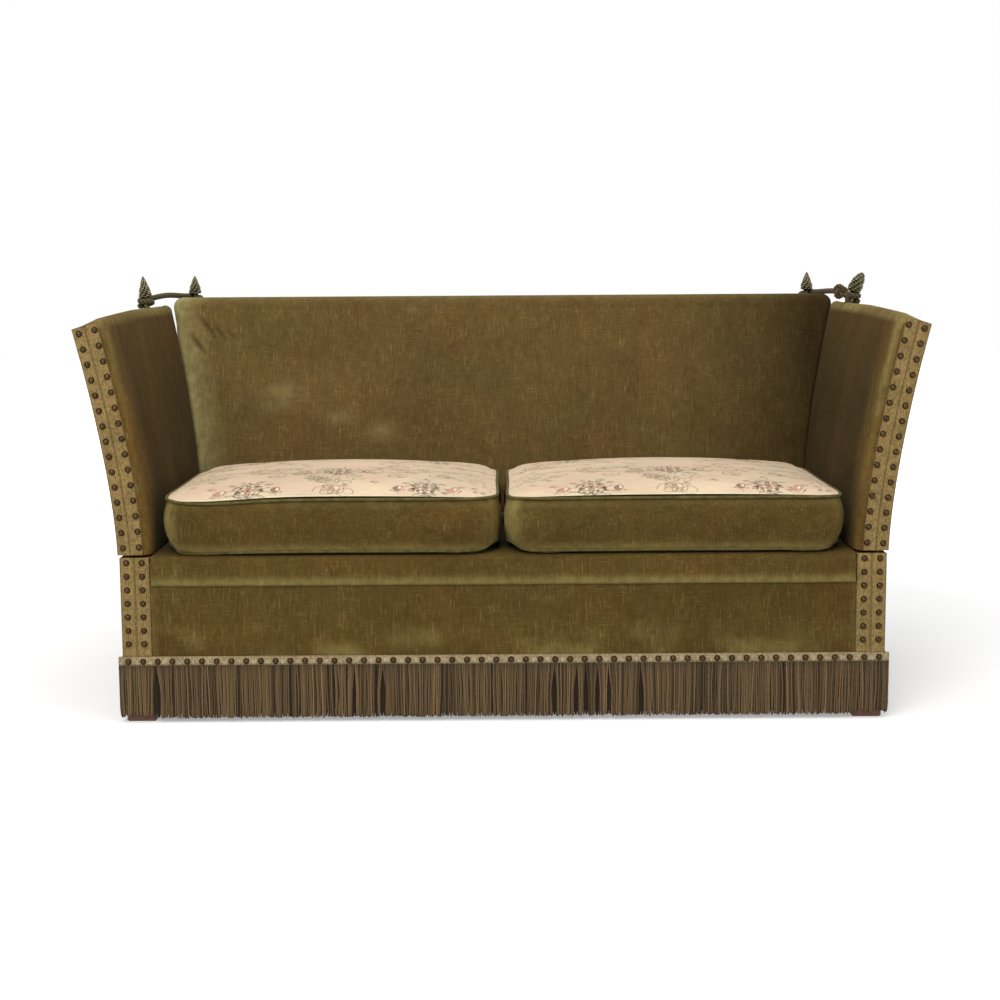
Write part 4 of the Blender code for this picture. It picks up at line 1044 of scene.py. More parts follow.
def back_tone(x, z):
    """Painted light: a painted highlight towards the left end, painted shade in the right corner
    and in the dents with a painted highlight beside each; pale worn patches.
    """
    tone = (
        0.10 + 0.28 * unit((-0.35 - x) / 0.38) ** 1.5 + 0.34 * unit(1 - (back_half(z) + x) / 0.10)
    )
    tone -= 0.50 * unit((x - 0.40) / 0.25) + 0.55 * unit((x - 0.60) / 0.14) ** 1.4
    for deep, across, shape in dents(x, z):
        # Painted shade in each dent, with a painted highlight along one side of it
        tone += deep * shape * (32 * bell(across - 1.7, 1) - 75 * bell(across, 1))
    return tone + 0.38 * patches(x, z)


def make_outer_back(velvet):
    rings = []
    for z in np.linspace(BASE_TOP, BACK_REAR_TOP - TOP_COVER, 48):
        half = float(back_half(z))
        rear = post_front(z) + POST_DEPTH + OUTER_BACK_THICKNESS
        front = back_face(z) + PAD_DEPTH + TOUCH if z >= DECK_TOP else post_front(z)
        inner = rear - OUTER_BACK_THICKNESS + TOUCH
        flange = half - BACK_FLANGE
        corners = (
            (-half, front), (-half, rear), (half, rear), (half, front),
            (flange, front), (flange, inner), (-flange, inner), (-flange, front),
        )
        outline = rounded(
            corners, (0, 0.0038, 0.0038, 0, 0, 0, 0, 0), 5, (1, 60, 1, 1, 1, 60, 1, 1)
        )
        rings.append(place(*outline.T, z))
    rings = np.array(rings)
    hollow = np.abs(ripple(rings, 0.18, 41) * 0.0007)
    out = rings[..., 1] > rings[..., 1].max(axis=1, keepdims=True) - 0.001
    rings[..., 1] -= hollow * out * unit((back_half(rings[..., 2]) - np.abs(rings[..., 0])) / 0.05)
    made = loft_object("outside_back", rings, velvet, 50)
    dress(made, "frame", "velvet", "outer_back", padded=0.9)


# The arms


ARM_PAD_BACK = ARM_COVER + ARM_BOARD_THICKNESS + 2 * TOUCH
ARM_PAD_TAIL = 0.010
ARM_PAD_STATIONS = 34
ARM_DEPTH = 0.60  # about, for the crown and the tones
ARM_LAP = 0.0013  # of the cover over the board's rear edge


def pad_section(crown, face):
    """(inward, rise) round the padding of an arm: up its face, over its top, down outside."""
    top, drop, back = ARM_RISE + crown, ARM_RISE - ARM_TOP_DROP, ARM_PAD_BACK
    corners = (
        (face, 0.0), (face, top), (0.042, top - 0.04 * crown), (0.020, ARM_RISE + 0.30 * crown),
        (0.0, ARM_RISE), (0.0, drop), (back, drop), (back, 0.0),
    )
    radii = (0, min(0.016, crown + 0.004), 0.020, 0.020, 0.0022, 0, 0, 0)
    return rounded(corners, radii, 6, (46, 3, 2, 2, 4, 3, 1, 2))


def arm_pad_rings(sign):
    """The padding's rings from front to rear, and how worn each is, with a painted sheen highlight
    on the rounded front and rear ends.
    """
    rings, wears = [], []
    for i, (along, across) in enumerate(quarter(9)):
        crown = ARM_CROWN * 0.4 * (across + (1 - across) * 0.4)
        face = ARM_PAD_BACK + (ARM_THICKNESS - ARM_PAD_BACK) * (0.55 + 0.45 * across)
        depth = PANEL_FACE + ARM_FRONT_ROLL * along
        rings.append(arm_point(sign, depth, *pad_section(crown, face).T))
        wears.append(max(0.0, 1 - abs(i - 4.5) / 4.5))
    start = PANEL_FACE + ARM_FRONT_ROLL
    for share in np.linspace(0, 1, ARM_PAD_STATIONS)[1:-1]:
        depth = start + (ARM_DEPTH - start) * share
        crown = ARM_CROWN * (0.4 + 0.6 * min(1.0, depth / ARM_CROWN_RUN) ** 0.8)
        points = arm_point(sign, 0.0, *pad_section(crown, ARM_THICKNESS).T)
        rear = back_face(points[:, 2]) - ARM_BACK_GAP
        points[:, 1] = start + (rear - start) * share - MIDDLE - ARM_PAD_TAIL * share
        rings.append(points)
        wears.append(0.0)
    for shrink, run in quarter(6):
        outline = pad_section(
            ARM_CROWN * (1 - 0.80 * shrink) + 0.001, ARM_THICKNESS - 0.006 * shrink
        )
        points = arm_point(sign, 0.0, *outline.T)
        points[:, 1] = back_face(points[:, 2]) - ARM_BACK_GAP - MIDDLE - ARM_PAD_TAIL * (1 - run)
        rings.append(points)
        wears.append(0.25 * shrink)
    return np.array(rings), np.array(wears)[:, None]


def make_arm(side, sign, velvet, braid, brass):
    body = f"arm_{side}"
    left = sign < 0
    rings, wears = arm_pad_rings(sign)
    inward, rise = pad_section(ARM_CROWN, ARM_THICKNESS).T
    inner = (inward > ARM_THICKNESS - 0.004) & (rise < ARM_RISE)
    number, count = np.arange(len(rings))[:, None], len(rings)
    ease = unit((number - 3) / 8) * unit((count - 3 - number) / 8)
    soft = ripple(rings, 0.16, 51 if left else 52) * 0.0011 + ripple(rings, 0.05, 53) * 0.0003
    rings[..., 0] += soft * inner * ease
    depth, height = rings[..., 1] + MIDDLE, rings[..., 2]
    top = (rise > ARM_RISE - 0.004) & (inward > 0.01)
    low_down = 0.22 + 0.78 * unit((height - 0.60) / 0.16)
    along_top = 0.75 + 0.25 * np.cos(np.linspace(0, 3 * math.pi, count))[:, None]
    # Paler on the front roll and along the top: painted sheen highlight, with some wear
    face_wear = wears * (inward > 0.045) * low_down * (0.42 if left else 0.85)
    wear = np.maximum(face_wear, (0.55 if left else 0.85) * top * along_top)
    # Painted shade: the inner face is darkened, less towards its top; a painted highlight on the
    # front roll; a lighter and a darker band along the face
    dark = (-0.86 if left else -1.0) * (1 - 0.55 * unit((height - 0.60) / 0.21) ** 1.3)
    roll = 0.16 * bell(depth - 0.012, 0.016) * (inward > 0.03)
    along = depth / ARM_DEPTH
    shades = (
        dark * unit((depth - 0.03) / 0.12)
        + 0.16 * bell(along - 0.52, 0.10)
        - 0.20 * bell(along - 0.20, 0.07)
    )
    made = loft_object(
        f"{body}_cushioning", rings, velvet, 60, wear=unit(wear), tone=shades * inner + roll
    )
    dress(made, body, "velvet", f"{body}_pad", padded=0.75)
    make_arm_cover(side, sign, velvet)
    strip = strips(
        f"arm_braid_{side}", ARM_BAND_WIDTH, 0.0, ARM_RISE,
        lambda across, proud, up: arm_point(sign, BAND_THICKNESS - proud, across, up), braid,
    )
    dress(strip, body, "braid", f"{body}_front_band")
    rises = np.linspace(0.014, ARM_RISE - 0.012, 15)
    spots = np.concatenate(
        [arm_point(sign, -NAIL_SINK, across, rises) for across in (0.0125, 0.0450)]
    )
    nails(f"nails_{body}", spots, (0, -1, 0), brass, body)


def make_arm_cover(side, sign, velvet):
    """The outside of the arm, drawn smooth over its board and lapped over the board's rear edge."""
    over = ARM_COVER + ARM_BOARD_THICKNESS - 0.0004
    shares = np.linspace(0, 1, 40)
    rings = []
    for rise in spread(0.0, ARM_RISE - ARM_TOP_DROP - TOUCH, 0.004, 0.012):
        def rear(across, past, rise=rise):
            spot = arm_point(sign, 0.0, across, rise)
            spot[1] = back_face(spot[2]) - ARM_BACK_GAP + past - MIDDLE
            return spot

        run = rear(0.0, ARM_LAP)[1] + MIDDLE - PANEL_FACE
        near = run * np.minimum(shares, 1 - shares)
        into = 1 - np.minimum(near / 0.0035, 1)
        give = 0.003 * (1 - np.sqrt(1 - into * into))
        inner = rear(ARM_COVER - TOUCH, TOUCH)
        back = PANEL_FACE + (inner[1] + MIDDLE - PANEL_FACE) * shares[::-1]
        rings.append(np.concatenate([
            arm_point(sign, PANEL_FACE + run * shares, give, rise),
            [rear(over, ARM_LAP), rear(over, TOUCH)],
            place(inner[0], back, inner[2]),
        ]))
    made = loft_object(f"arm_{side}_outside", np.array(rings), velvet, 50)
    dress(made, f"arm_{side}", "velvet", f"arm_{side}_cover", padded=0.9)


# Finials and cords


FINIAL_SIDES = 56
FINIAL_FULL = (0.86, 1.0, 0.99, 0.90, 0.72, 0.52, 0.34, 0.20, 0.06)
# The right arm's is a fuller casting that leans
ODD_FINIAL = "finial_arm_right"
ODD_FULL = (0.86, 0.98, 1.0, 1.0, 0.92, 0.80, 0.62, 0.40, 0.10)
ODD_SWELL, ODD_LEAN = 1.10, 0.16
NECK_LENGTH = CORD_TURNS * CORD_PITCH + 2 * CORD_RADIUS + 2 * TOUCH
KNOT_AT = place(0.7865, 0.604, 0.8555)
KNOT_TAIL = ((0.0150, 0.0, -0.0330), (0.0150, -0.003, -0.0215), (0.0142, -0.0052, -0.0110))
KNOT_WAVE = 0.0048


def finial_frame(side, sign, where):
    if where == "arm":
        depth = float(back_face(ARM_FOOT + ARM_RISE)) - 0.006 - ARM_FINIAL_INSET
        seat = arm_point(sign, depth, ARM_FINIAL_INWARDS[side], ARM_RISE + ARM_CROWN - SEAT_RECESS)
        return Matrix.Translation(Vector(seat)) @ Matrix.Rotation(sign * LEANS[side], 4, "Y")
    x = float(back_half(BACK_REAR_TOP)) - BACK_FINIAL_INSET
    return Matrix.Translation(
        Vector(place(sign * x, post_front(BACK_REAR_TOP) + POST_DEPTH / 2, BACK_REAR_TOP))
    )


def make_finial(name, stand, tall, brass, body, node):
    """A cast flame: ridges wind round it as it narrows, on a waisted foot."""
    odd = name == ODD_FINIAL
    neck_top = FINIAL_DISC + NECK_LENGTH
    bulb = tall - neck_top
    angles = round_angles(FINIAL_SIDES)
    foot = [
        (0.0045, -0.010), (0.0045, 0.0), (0.0124, 0.0002), (FINIAL_DISC_RADIUS, 0.0016),
        (FINIAL_DISC_RADIUS, 0.0040), (0.0118, 0.0052), (0.0085, 0.0059),
        (NECK_RADIUS, FINIAL_DISC + 0.0006),
        *((NECK_RADIUS, FINIAL_DISC + 0.003 + i * (NECK_LENGTH - 0.006) / 4) for i in range(5)),
        (0.0072, neck_top - 0.0012), (0.0100, neck_top - 0.0004),
    ]
    radius, height = np.array(foot).T[..., None]
    share = np.linspace(0, 1, 46)[:, None]
    shape = np.interp(
        share, (0, 0.05, 0.14, 0.3, 0.48, 0.66, 0.82, 0.93, 1.0), ODD_FULL if odd else FINIAL_FULL
    )
    twist = TURN * 0.50 * share
    ridge = np.abs(np.cos(3 * (angles - twist))) ** 0.7
    knob = np.abs(np.sin(share * 15 + 3 * (angles + twist))) ** 0.6
    lump = ridge * (0.30 + 0.70 * knob)
    deep = 0.36 * np.minimum(1.0, share / 0.06) * np.where(share < 0.97, 1, 0.3)
    reach = BULB_RADIUS * shape * (1 - deep + deep * 1.15 * lump)
    reach = reach * np.where(odd & (share > 0), ODD_SWELL, 1.0)
    shift = (ODD_LEAN if odd else 0.0) * bulb * share**1.3
    flame = circles(reach, neck_top + bulb * share - 0.1 * shift, angles)
    flame[..., 0] += shift
    rings = np.concatenate([circles(radius, height, angles), flame])
    # Darker in the grooves between the ridges: painted shade, with patina
    proud = np.concatenate([np.full((len(foot), FINIAL_SIDES), 0.5), lump])
    points = rings @ np.array(stand.to_3x3()).T + np.array(stand.translation)
    return dress(loft_object(name, points, brass, 70, proud=proud), body, "antique_brass", node)


def neck_turns(stand, sign, last_angle, rising):
    """A short straight tail and the turns of a cord round a finial's neck, from the foot up."""
    radius = NECK_RADIUS + TOUCH + ROPE_RADIUS
    points = []
    for share in np.linspace(0, 1, CORD_TURNS * 24 + 1):
        angle = last_angle - TURN * CORD_TURNS * (1 - share) * rising
        height = FINIAL_DISC + TOUCH + CORD_RADIUS + CORD_PITCH * CORD_TURNS * share
        points.append(
            stand @ Vector((sign * radius * math.cos(angle), radius * math.sin(angle), height))
        )
    up = stand.col[2].to_3d()
    way = points[0] - points[1]
    way = (way - up * way.dot(up)).normalized()
    return [points[0] + way * CORD_TAIL, points[0] + way * CORD_TAIL / 2] + points


def cord_route(side, sign):
    """The whole tie cord, from its end on the arm's neck to its end on the back's neck."""
    arm, back = (finial_frame(side, sign, where) for where in ("arm", "back"))
    run = back.translation - arm.translation
    leaving = math.atan2(-sign * run.x, run.y)
    first = neck_turns(arm, sign, leaving, 1)
    last = neck_turns(back, sign, leaving, -1)[::-1]
    a, b = first[-1], last[0]

    def arched(share):
        return a.lerp(b, share) + Vector((0, 0, CORD_ARCH * math.sin(math.pi * share) ** 2))

    between = [arched(i / 12) for i in range(1, 12)]
    return first + between + last, arched(CORD_SPLIT_SHARE), (b - a).normalized()


def smooth_path(points, step):
    """Even points, a step apart, on a smooth curve through the given ones."""
    array = np.array([tuple(point) for point in points])
    padded = np.concatenate([[2 * array[0] - array[1]], array, [2 * array[-1] - array[-2]]])
    t = np.linspace(0, 1, 12, endpoint=False)[:, None]
    fine = []
    for p0, p1, p2, p3 in zip(padded, padded[1:], padded[2:], padded[3:]):
        bend, twist = 2 * p0 - 5 * p1 + 4 * p2 - p3, 3 * p1 - p0 - 3 * p2 + p3
        fine.append(0.5 * (2 * p1 + (p2 - p0) * t + bend * t * t + twist * t**3))
    fine = np.concatenate([*fine, array[-1:]])
    lengths = np.concatenate([[0], np.cumsum(np.linalg.norm(np.diff(fine, axis=0), axis=1))])
    at = np.linspace(0, lengths[-1], int(lengths[-1] / step))
    return np.stack([np.interp(at, lengths, column) for column in fine.T], axis=1), lengths[-1]


def rope_object(name, points, radius, finish, step=0.0013, lay=0.021, sides=24):
    """A rope of three twisted strands along points; returns it with its path and length."""
    path, length = smooth_path(points, step)
    tangents = np.gradient(path, axis=0)
    tangents /= np.linalg.norm(tangents, axis=1)[:, None]
    side = np.cross(tangents[0], (0.31, 0.22, 0.93))
    angles = round_angles(sides)[:, None]
    rings, ply = [], []
    for i, (spot, tangent) in enumerate(zip(path, tangents)):
        side = side - tangent * (side @ tangent)
        side /= np.linalg.norm(side)
        wave = np.abs(np.cos(1.5 * (angles - TURN * i * step / lay)))
        close = min(i, len(path) - 1 - i) * step / radius
        end = math.sqrt(max(0.12, 1 - (1 - min(close, 1)) ** 2))
        reach = radius * (0.70 + 0.30 * wave**0.7) * end
        rings.append(
            spot + reach * (np.cos(angles) * side + np.sin(angles) * np.cross(tangent, side))
        )
        ply.append(wave[:, 0])
    return loft_object(name, np.array(rings), finish, ply=np.array(ply)), path, length


def make_cords(rope):
    for side, sign in SIDES.items():
        points, split, along = cord_route(side, sign)
        made, path, length = rope_object(f"tie_rope_{side}", points, ROPE_RADIUS, rope)
        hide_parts(f"tie_cord_{side}", f"tie_cord_{side}_back_turns")
        split + along * 0.010
        split - along * 0.010
        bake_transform(made)
        route = path[::-1][::5]
        if (len(path) - 1) % 5:
            route = np.concatenate([route, path[:1]])
    make_knot(rope)


def make_knot(rope):
    """A knob of rope beside the right arm's finial, on a short tail fixed in the arm's top."""
    t = TURN * np.arange(61) / 60 * 0.985
    reach = 0.0090 + KNOT_WAVE * np.cos(3 * t)
    loop = np.stack(
        [reach * np.cos(2 * t), KNOT_WAVE * np.sin(3 * t), reach * np.sin(2 * t)], axis=1
    )
    points = KNOT_AT + np.concatenate([KNOT_TAIL, loop])
    made, _, _ = rope_object(
        "tie_knot_right", points, 0.0050, rope, step=0.0012, lay=0.019, sides=18
    )
    dress(made, "arm_right", "cord")


# The cushions


CUSHION_X = 0.3492
CUSHION_MIDDLE = CUSHION_FRONT + CUSHION_DEPTH / 2
CUSHION_FOOT = DECK_TOP + TOUCH
WELT_TOP = CUSHION_FOOT + CUSHION_SIDE
WELT_FOOT = CUSHION_FOOT + 0.019
FOOT_CORNER = 0.024
TAPESTRY_EDGE = 0.992
COARSE = 5  # the tapestry's points per place where the filled cushion is measured
PRESSURE_FRAMES = 20


def cushion_plan(u, v, grow, corner):
    """The cushion's outline, pulled in at its corners, more so at the rear."""
    half_x, half_y = CUSHION_HALF + grow, CUSHION_DEPTH / 2 + grow
    square = u * u * v * v
    cut = np.where(v > 0, 0.034 * square**2.6, corner * square**4)
    x = u * half_x - np.sign(u) * CUSHION_PULL * np.abs(u) ** 3 * (1 - v * v)
    y = v * half_y - np.sign(v) * CUSHION_PULL * np.abs(v) ** 3 * (1 - u * u)
    return x - np.sign(u) * cut, y - np.sign(v) * cut


def crown_height(u, v):
    """Fuller along its front than at the back and the sides."""
    power = np.where(v < 0, 0.40, 0.55)
    return CUSHION_CROWN * np.maximum(1 - u * u, 0) ** 0.62 * np.maximum(1 - v * v, 0) ** power


def cushion_rim(count_u, count_v):
    """(u, v) round the edge, in order, closer together at the corners."""
    us, vs = (-np.cos(np.linspace(0, math.pi, count + 1)) for count in (count_u, count_v))
    front = [(u, -1.0) for u in us[:-1]]
    right = [(1.0, v) for v in vs[:-1]]
    rear = [(u, 1.0) for u in us[:0:-1]]
    left = [(-1.0, v) for v in vs[:0:-1]]
    return np.array(front + right + rear + left).T


def lip_top(depth):
    """Height of the front roll at a depth, for what rests on it."""
    into = unit((0.0118 - depth) / 0.0124)
    fall = np.where(into < 1, 1 - np.sqrt(np.maximum(1 - into**2, 0)), 6.0)
    return CUSHION_FOOT - 0.012 * fall


def settle(points):
    """The front edge sinks over the front roll."""
    depth, height = points[..., 1] + MIDDLE, points[..., 2]
    low = unit((DECK_TOP + CUSHION_SIDE - height) / CUSHION_SIDE)
    front = eased(unit((0.045 - depth) / 0.035))
    moved = points.copy()
    moved[..., 1] -= 0.0080 * front * low
    sink = 0.0150 + 0.0070 * unit((-0.50 - points[..., 0]) / 0.18) ** 1.5
    sunk = height - sink * front * low**1.4
    moved[..., 2] = np.maximum(sunk, np.minimum(lip_top(moved[..., 1] + MIDDLE) + 0.0005, height))
    return moved


def applied(made, kind, **settings):
    change = made.modifiers.new(kind.lower(), kind)
    for key, value in settings.items():
        setattr(change, key, value)
    bpy.ops.object.modifier_apply(modifier=change.name)


def filled(made, cap):
    """Lets the filling push the cover out, each point by cap at most, on an even fine mesh."""
    scene = bpy.context.scene
    bpy.context.view_layer.objects.active = made
    applied(made, "REMESH", mode="VOXEL", voxel_size=0.0055, use_smooth_shade=True)
    applied(made, "SMOOTH", factor=0.5, iterations=4)
    before = coordinates(made.data)
    cloth = made.modifiers.new("cover", "CLOTH")
    cloth.settings.use_pressure = True
    cloth.settings.uniform_pressure_force = 4
    cloth.settings.effector_weights.gravity = 0
    for number in range(PRESSURE_FRAMES):
        scene.frame_set(number + 1)
    move = coordinates(made.evaluated_get(bpy.context.evaluated_depsgraph_get()).data) - before
    made.modifiers.remove(cloth)
    scene.frame_set(1)
    far = np.linalg.norm(move, axis=1)[:, None]
    move *= np.minimum(1, cap / np.maximum(far, 1e-9))
    put_back(made, before + move)
    applied(made, "SUBSURF", levels=1, render_levels=1)


def put_back(made, points):
    made.data.vertices.foreach_set("co", points.astype(np.float32).ravel())


def surface_of(made):
    data = made.data
    return BVHTree.FromPolygons(
        [vertex.co for vertex in data.vertices], [tuple(face.vertices) for face in data.polygons]
    )


def surface_heights(made, xs, ys):
    """Height of the top of a piece over plan positions; beyond its edge, the edge's height."""
    tree = surface_of(made)
    found = np.full(xs.shape, np.nan)
    for i in np.ndindex(xs.shape):
        hit = tree.ray_cast(Vector((xs[i], ys[i], 1.0)), Vector((0, 0, -1)))[0]
        if hit is not None and hit.z > DECK_TOP + CUSHION_SIDE * 0.85:
            found[i] = hit.z
    for _ in range(6):
        for axis, way in ((0, 1), (0, -1), (1, 1), (1, -1)):
            found = np.where(np.isnan(found), np.roll(found, way, axis), found)
    return found


def skin_reach(made, loop, middle):
    """How far the skin of a piece is from its upright axis, towards each point of a level loop."""
    tree = surface_of(made)
    found = []
    for point in loop:
        start = Vector((*middle, point[2]))
        way = Vector(point) - start
        hit = tree.ray_cast(start, way.normalized())[0]
        found.append((hit - start).length if hit is not None else way.length)
    reaches = np.array(found)
    for _ in range(8):
        reaches = 0.5 * reaches + 0.25 * (np.roll(reaches, 1) + np.roll(reaches, -1))
    return reaches


def on_skin(made, loop, middle, proud):
    """Points of a level loop moved in or out to just proud of a piece's skin."""
    reaches = skin_reach(made, loop, middle) + proud
    way = loop[:, :2] - middle
    result = loop.copy()
    result[:, :2] = middle + way / np.linalg.norm(way, axis=1)[:, None] * reaches[:, None]
    return result


def fit_plan(made, points, loop, middle):
    """Scales the points in plan, direction by direction, until the skin reaches the loop."""
    way = loop[:, :2] - middle
    ratio = np.linalg.norm(way, axis=1) / skin_reach(made, loop, middle)
    angle = np.arctan2(way[:, 1], way[:, 0])
    order = np.argsort(angle)
    own = points[:, :2] - middle
    factor = np.interp(np.arctan2(own[:, 1], own[:, 0]), angle[order], ratio[order], period=TURN)
    points[:, :2] = middle + own * factor[:, None]
    return points


def make_cushion(side, sign, velvet, tapestry, piping):
    body_name, name = f"seat_cushion_{side}", f"cushion_{side}"
    left = sign < 0
    centre_x = sign * CUSHION_X
    top_corner = 0.026 if left else 0.017
    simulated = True
    slack = 0.0115 if simulated else 0.0  # the crown starts lower, and its filling pushes it up

    def at(u, v, z, out=0.0, corner=top_corner):
        x, y = cushion_plan(u, v, out, corner)
        inner = unit(-sign * u) ** 4  # the sides that meet bulge less
        x = x + sign * np.maximum(out, 0) * inner * 0.75
        up = unit((z - CUSHION_FOOT) / CUSHION_SIDE)
        low = 0.010 * np.where(v > 0, (u * u * v * v) ** 2.5, 0)
        if left:
            low = low + 0.0065 * bell(u + 0.74, 0.32) * unit(-v) ** 6
        return place(centre_x + x, CUSHION_MIDDLE + y, z - low * up)

    u, v = cushion_rim(110, 96)
    loops = [
        at(u * share, v * share, CUSHION_FOOT + 0.0002 + 0 * u)
        for share in (0.0, 0.3, 0.6, 0.8, 0.92)
    ]
    for share in (0.2, 0.45, 0.7, 0.9):
        height = CUSHION_FOOT + (WELT_FOOT - CUSHION_FOOT) * (0.05 + 0.9 * share**1.8)
        loops.append(at(u, v, height, -0.028 * (1 - share) ** 1.3, FOOT_CORNER))
    for share in np.linspace(0, 1, 14):
        out = CUSHION_BULGE * math.sin(math.pi * share) ** 0.8
        corner = FOOT_CORNER + (top_corner - FOOT_CORNER) * share
        height = WELT_FOOT + (WELT_TOP - 0.002 - WELT_FOOT) * share
        loops.append(at(u, v, height + 0 * u, out - 0.001, corner))
    for share in np.linspace(0.985, 0.0, 42):
        us, vs = u * share, v * share
        crown = crown_height(us, vs)
        loops.append(at(us, vs, WELT_TOP - 0.0022 + crown - slack * np.minimum(crown / 0.02, 1)))
    body = loft_object(name, settle(np.array(loops)), velvet, 60)
    middle = np.array([centre_x, CUSHION_MIDDLE - MIDDLE])
    if simulated:
        filled(body, 0.010)
        level = at(u, v, WELT_TOP - 0.006 + 0 * u, -0.0004)
        points = fit_plan(body, coordinates(body.data), level, middle)
        depth = points[:, 1] + MIDDLE
        floor = np.where(depth > -0.0006, lip_top(depth) + 0.0003, 0)
        points[:, 2] = np.maximum(points[:, 2], floor)
        # Clear of the other cushion.
        points[:, 0] = sign * np.clip(sign * points[:, 0], 0.0030, None)
        put_back(body, points)
    x, y, heights = coordinates(body.data).T
    depth = y + MIDDLE
    level = heights + 0.0150 * unit((0.045 - depth) / 0.035)
    to_end = np.abs(x - centre_x) - CUSHION_HALF
    ends = unit((to_end + 0.040) / 0.030) * (depth < 0.05)
    side_on = unit((to_end + 0.075) / 0.06)
    # Paler strips along the welts, below the foot welt and at the ends: a painted sheen highlight
    wear = (
        0.55 * bell(level - WELT_FOOT - 0.006, 0.011)
        + 0.30 * bell(heights - WELT_TOP + 0.008, 0.010)
    )
    wear += 0.45 * (level < WELT_FOOT - 0.004) + np.where(x < centre_x, 1.0, 0.3) * ends
    # Painted light: the boxing lighter towards its ends as a painted sheen highlight, darker
    # elsewhere as painted shade
    tone = (0.45 if left else 0.25) * side_on**2 - (0.12 if left else 0.17)
    set_values(body, wear=unit(wear), tone=tone)
    dress(body, body_name, "velvet", body_name, padded=0.8)
    us, vs = (np.linspace(-TAPESTRY_EDGE, TAPESTRY_EDGE, count) for count in (340, 310))
    grid_u, grid_v = np.meshgrid(us, vs, indexing="ij")
    surface = at(grid_u, grid_v, WELT_TOP - 0.0010 + crown_height(grid_u, grid_v))
    if simulated:
        coarse = surface[::COARSE, ::COARSE]
        lift = surface_heights(body, coarse[..., 0], coarse[..., 1]) - coarse[..., 2]
        lift = stretched(lift, us[::COARSE], vs[::COARSE], us, vs)
        inside = unit((1 - np.maximum(np.abs(grid_u), np.abs(grid_v))) / 0.07)
        surface[..., 2] += lift * inside + np.clip(lift, -0.0004, 0.002) * (1 - inside) + 0.0012
    top = grid_object(f"{name}_tapestry", surface, tapestry)
    across = run_along(us * CUSHION_WIDTH / 2, crown_height(us, 0 * us))
    along = run_along(vs * CUSHION_DEPTH / 2, crown_height(0 * vs, vs))
    colours = tapestry_colours(*np.meshgrid(across, along, indexing="ij"))
    layer = top.data.color_attributes.new("pattern", "FLOAT_COLOR", "POINT")
    flat = np.concatenate([colours.reshape(-1, 3), np.ones((colours.size // 3, 1))], axis=1)
    layer.data.foreach_set("color", flat.astype(np.float32).ravel())
    dress(top, body_name, "tapestry", f"{body_name}_top")
    for label, height, corner in (("top", WELT_TOP, top_corner), ("foot", WELT_FOOT, FOOT_CORNER)):
        loop = settle(at(u, v, height + 0 * u, 0.0012, corner))
        if simulated and label == "foot":
            loop = on_skin(body, loop, middle, 0.0008)
        dress(welt_object(f"{name}_welt_{label}", loop, piping), body_name, "velvet")


def run_along(level, height):
    """Distance from the middle of a profile, measured along it."""
    steps = np.hypot(np.diff(level), np.diff(height))
    run = np.concatenate([[0.0], np.cumsum(steps)])
    return run - np.interp(0.0, level, run)


def stretched(values, us, vs, fine_us, fine_vs):
    """A coarse grid of values read at finer places."""
    rows = np.array([np.interp(fine_vs, vs, row) for row in values])
    return np.array([np.interp(fine_us, us, column) for column in rows.T]).T


def welt_object(name, loop, finish, sides=10):
    """Piping round a closed loop of points."""
    tangent = np.roll(loop, -1, axis=0) - np.roll(loop, 1, axis=0)
    out = np.cross(tangent, (0.0, 0.0, 1.0))
    out /= np.linalg.norm(out, axis=1)[:, None]
    angles = round_angles(sides)[:, None]
    reach = WELT_RADIUS * (1 + 0.05 * ripple(loop, 0.02, 71))[:, None, None]
    rings = loop[:, None] + reach * (
        np.cos(angles) * out[:, None] + np.sin(angles) * (0.0, 0.0, 1.0)
    )
    points = rings.reshape(-1, 3)
    quads = grid_faces(len(loop) + 1, sides, closed=True) % len(points)
    return mesh_object(name, points, outward(points, quads).tolist(), finish)


# The tapestry's pattern


CREAM, BLUSH, PALE_ROSE, DARK_ROSE, MAUVE, LEAF, PALE_LEAF, SCROLL, LIGHT, PINK = (
    np.array(srgb(*colour)) for colour in (
        (222, 199, 168), (224, 188, 162), (204, 168, 142), (104, 72, 60), (158, 124, 108),
        (78, 68, 48), (164, 158, 126), (142, 124, 96), (248, 236, 200), (214, 164, 138),
    )
)
CLOTH_SIZE = (0.74, 0.68)
CLOTH_PIXEL = 0.0010
SPRAY_SIZE = 0.0275
SCROLLS = (
    (0.0, -0.270), (0.0, -0.225), (0.0, -0.18), (-0.09, -0.13), (0.09, -0.13),
    (-0.26, -0.10), (0.26, -0.10),
    (-0.25, 0.06), (0.25, 0.06), (-0.11, 0.10), (0.11, 0.10), (0.0, 0.26),
    (-0.13, -0.06), (0.13, -0.06),
)
# From, to and sag
SWAGS = (
    (-0.20, -0.085, 0.20, -0.085, 0.05),
    (-0.33, 0.06, -0.09, 0.05, 0.04), (0.09, 0.05, 0.33, 0.06, 0.04),
    (-0.12, 0.16, 0.12, 0.16, 0.04),
    (-0.35, -0.16, -0.22, -0.12, 0.02), (0.22, -0.12, 0.35, -0.16, 0.02),
    (-0.30, -0.03, -0.06, -0.05, 0.03), (0.06, -0.05, 0.30, -0.03, 0.03),
)
# Place, and the side of the larger buds
SPRAYS = (
    (-0.166, -0.262, 1), (0.188, -0.256, -1), (0.004, -0.110, 1),
    (-0.20, 0.14, 1), (0.20, 0.14, -1),
    (0.0, 0.25, -1),
)
# Buds of a spray: place, size, turn, colour
SPRAY_BUDS = (
    (-2.05, -0.30, 0.52, 0.4, PINK), (-2.75, 0.55, 0.30, 0.9, PALE_ROSE),
    (2.00, -0.10, 0.42, 1.2, MAUVE),
    (1.45, 1.10, 0.26, 0.2, PALE_ROSE), (-1.30, 1.30, 0.24, 1.9, PINK),
)


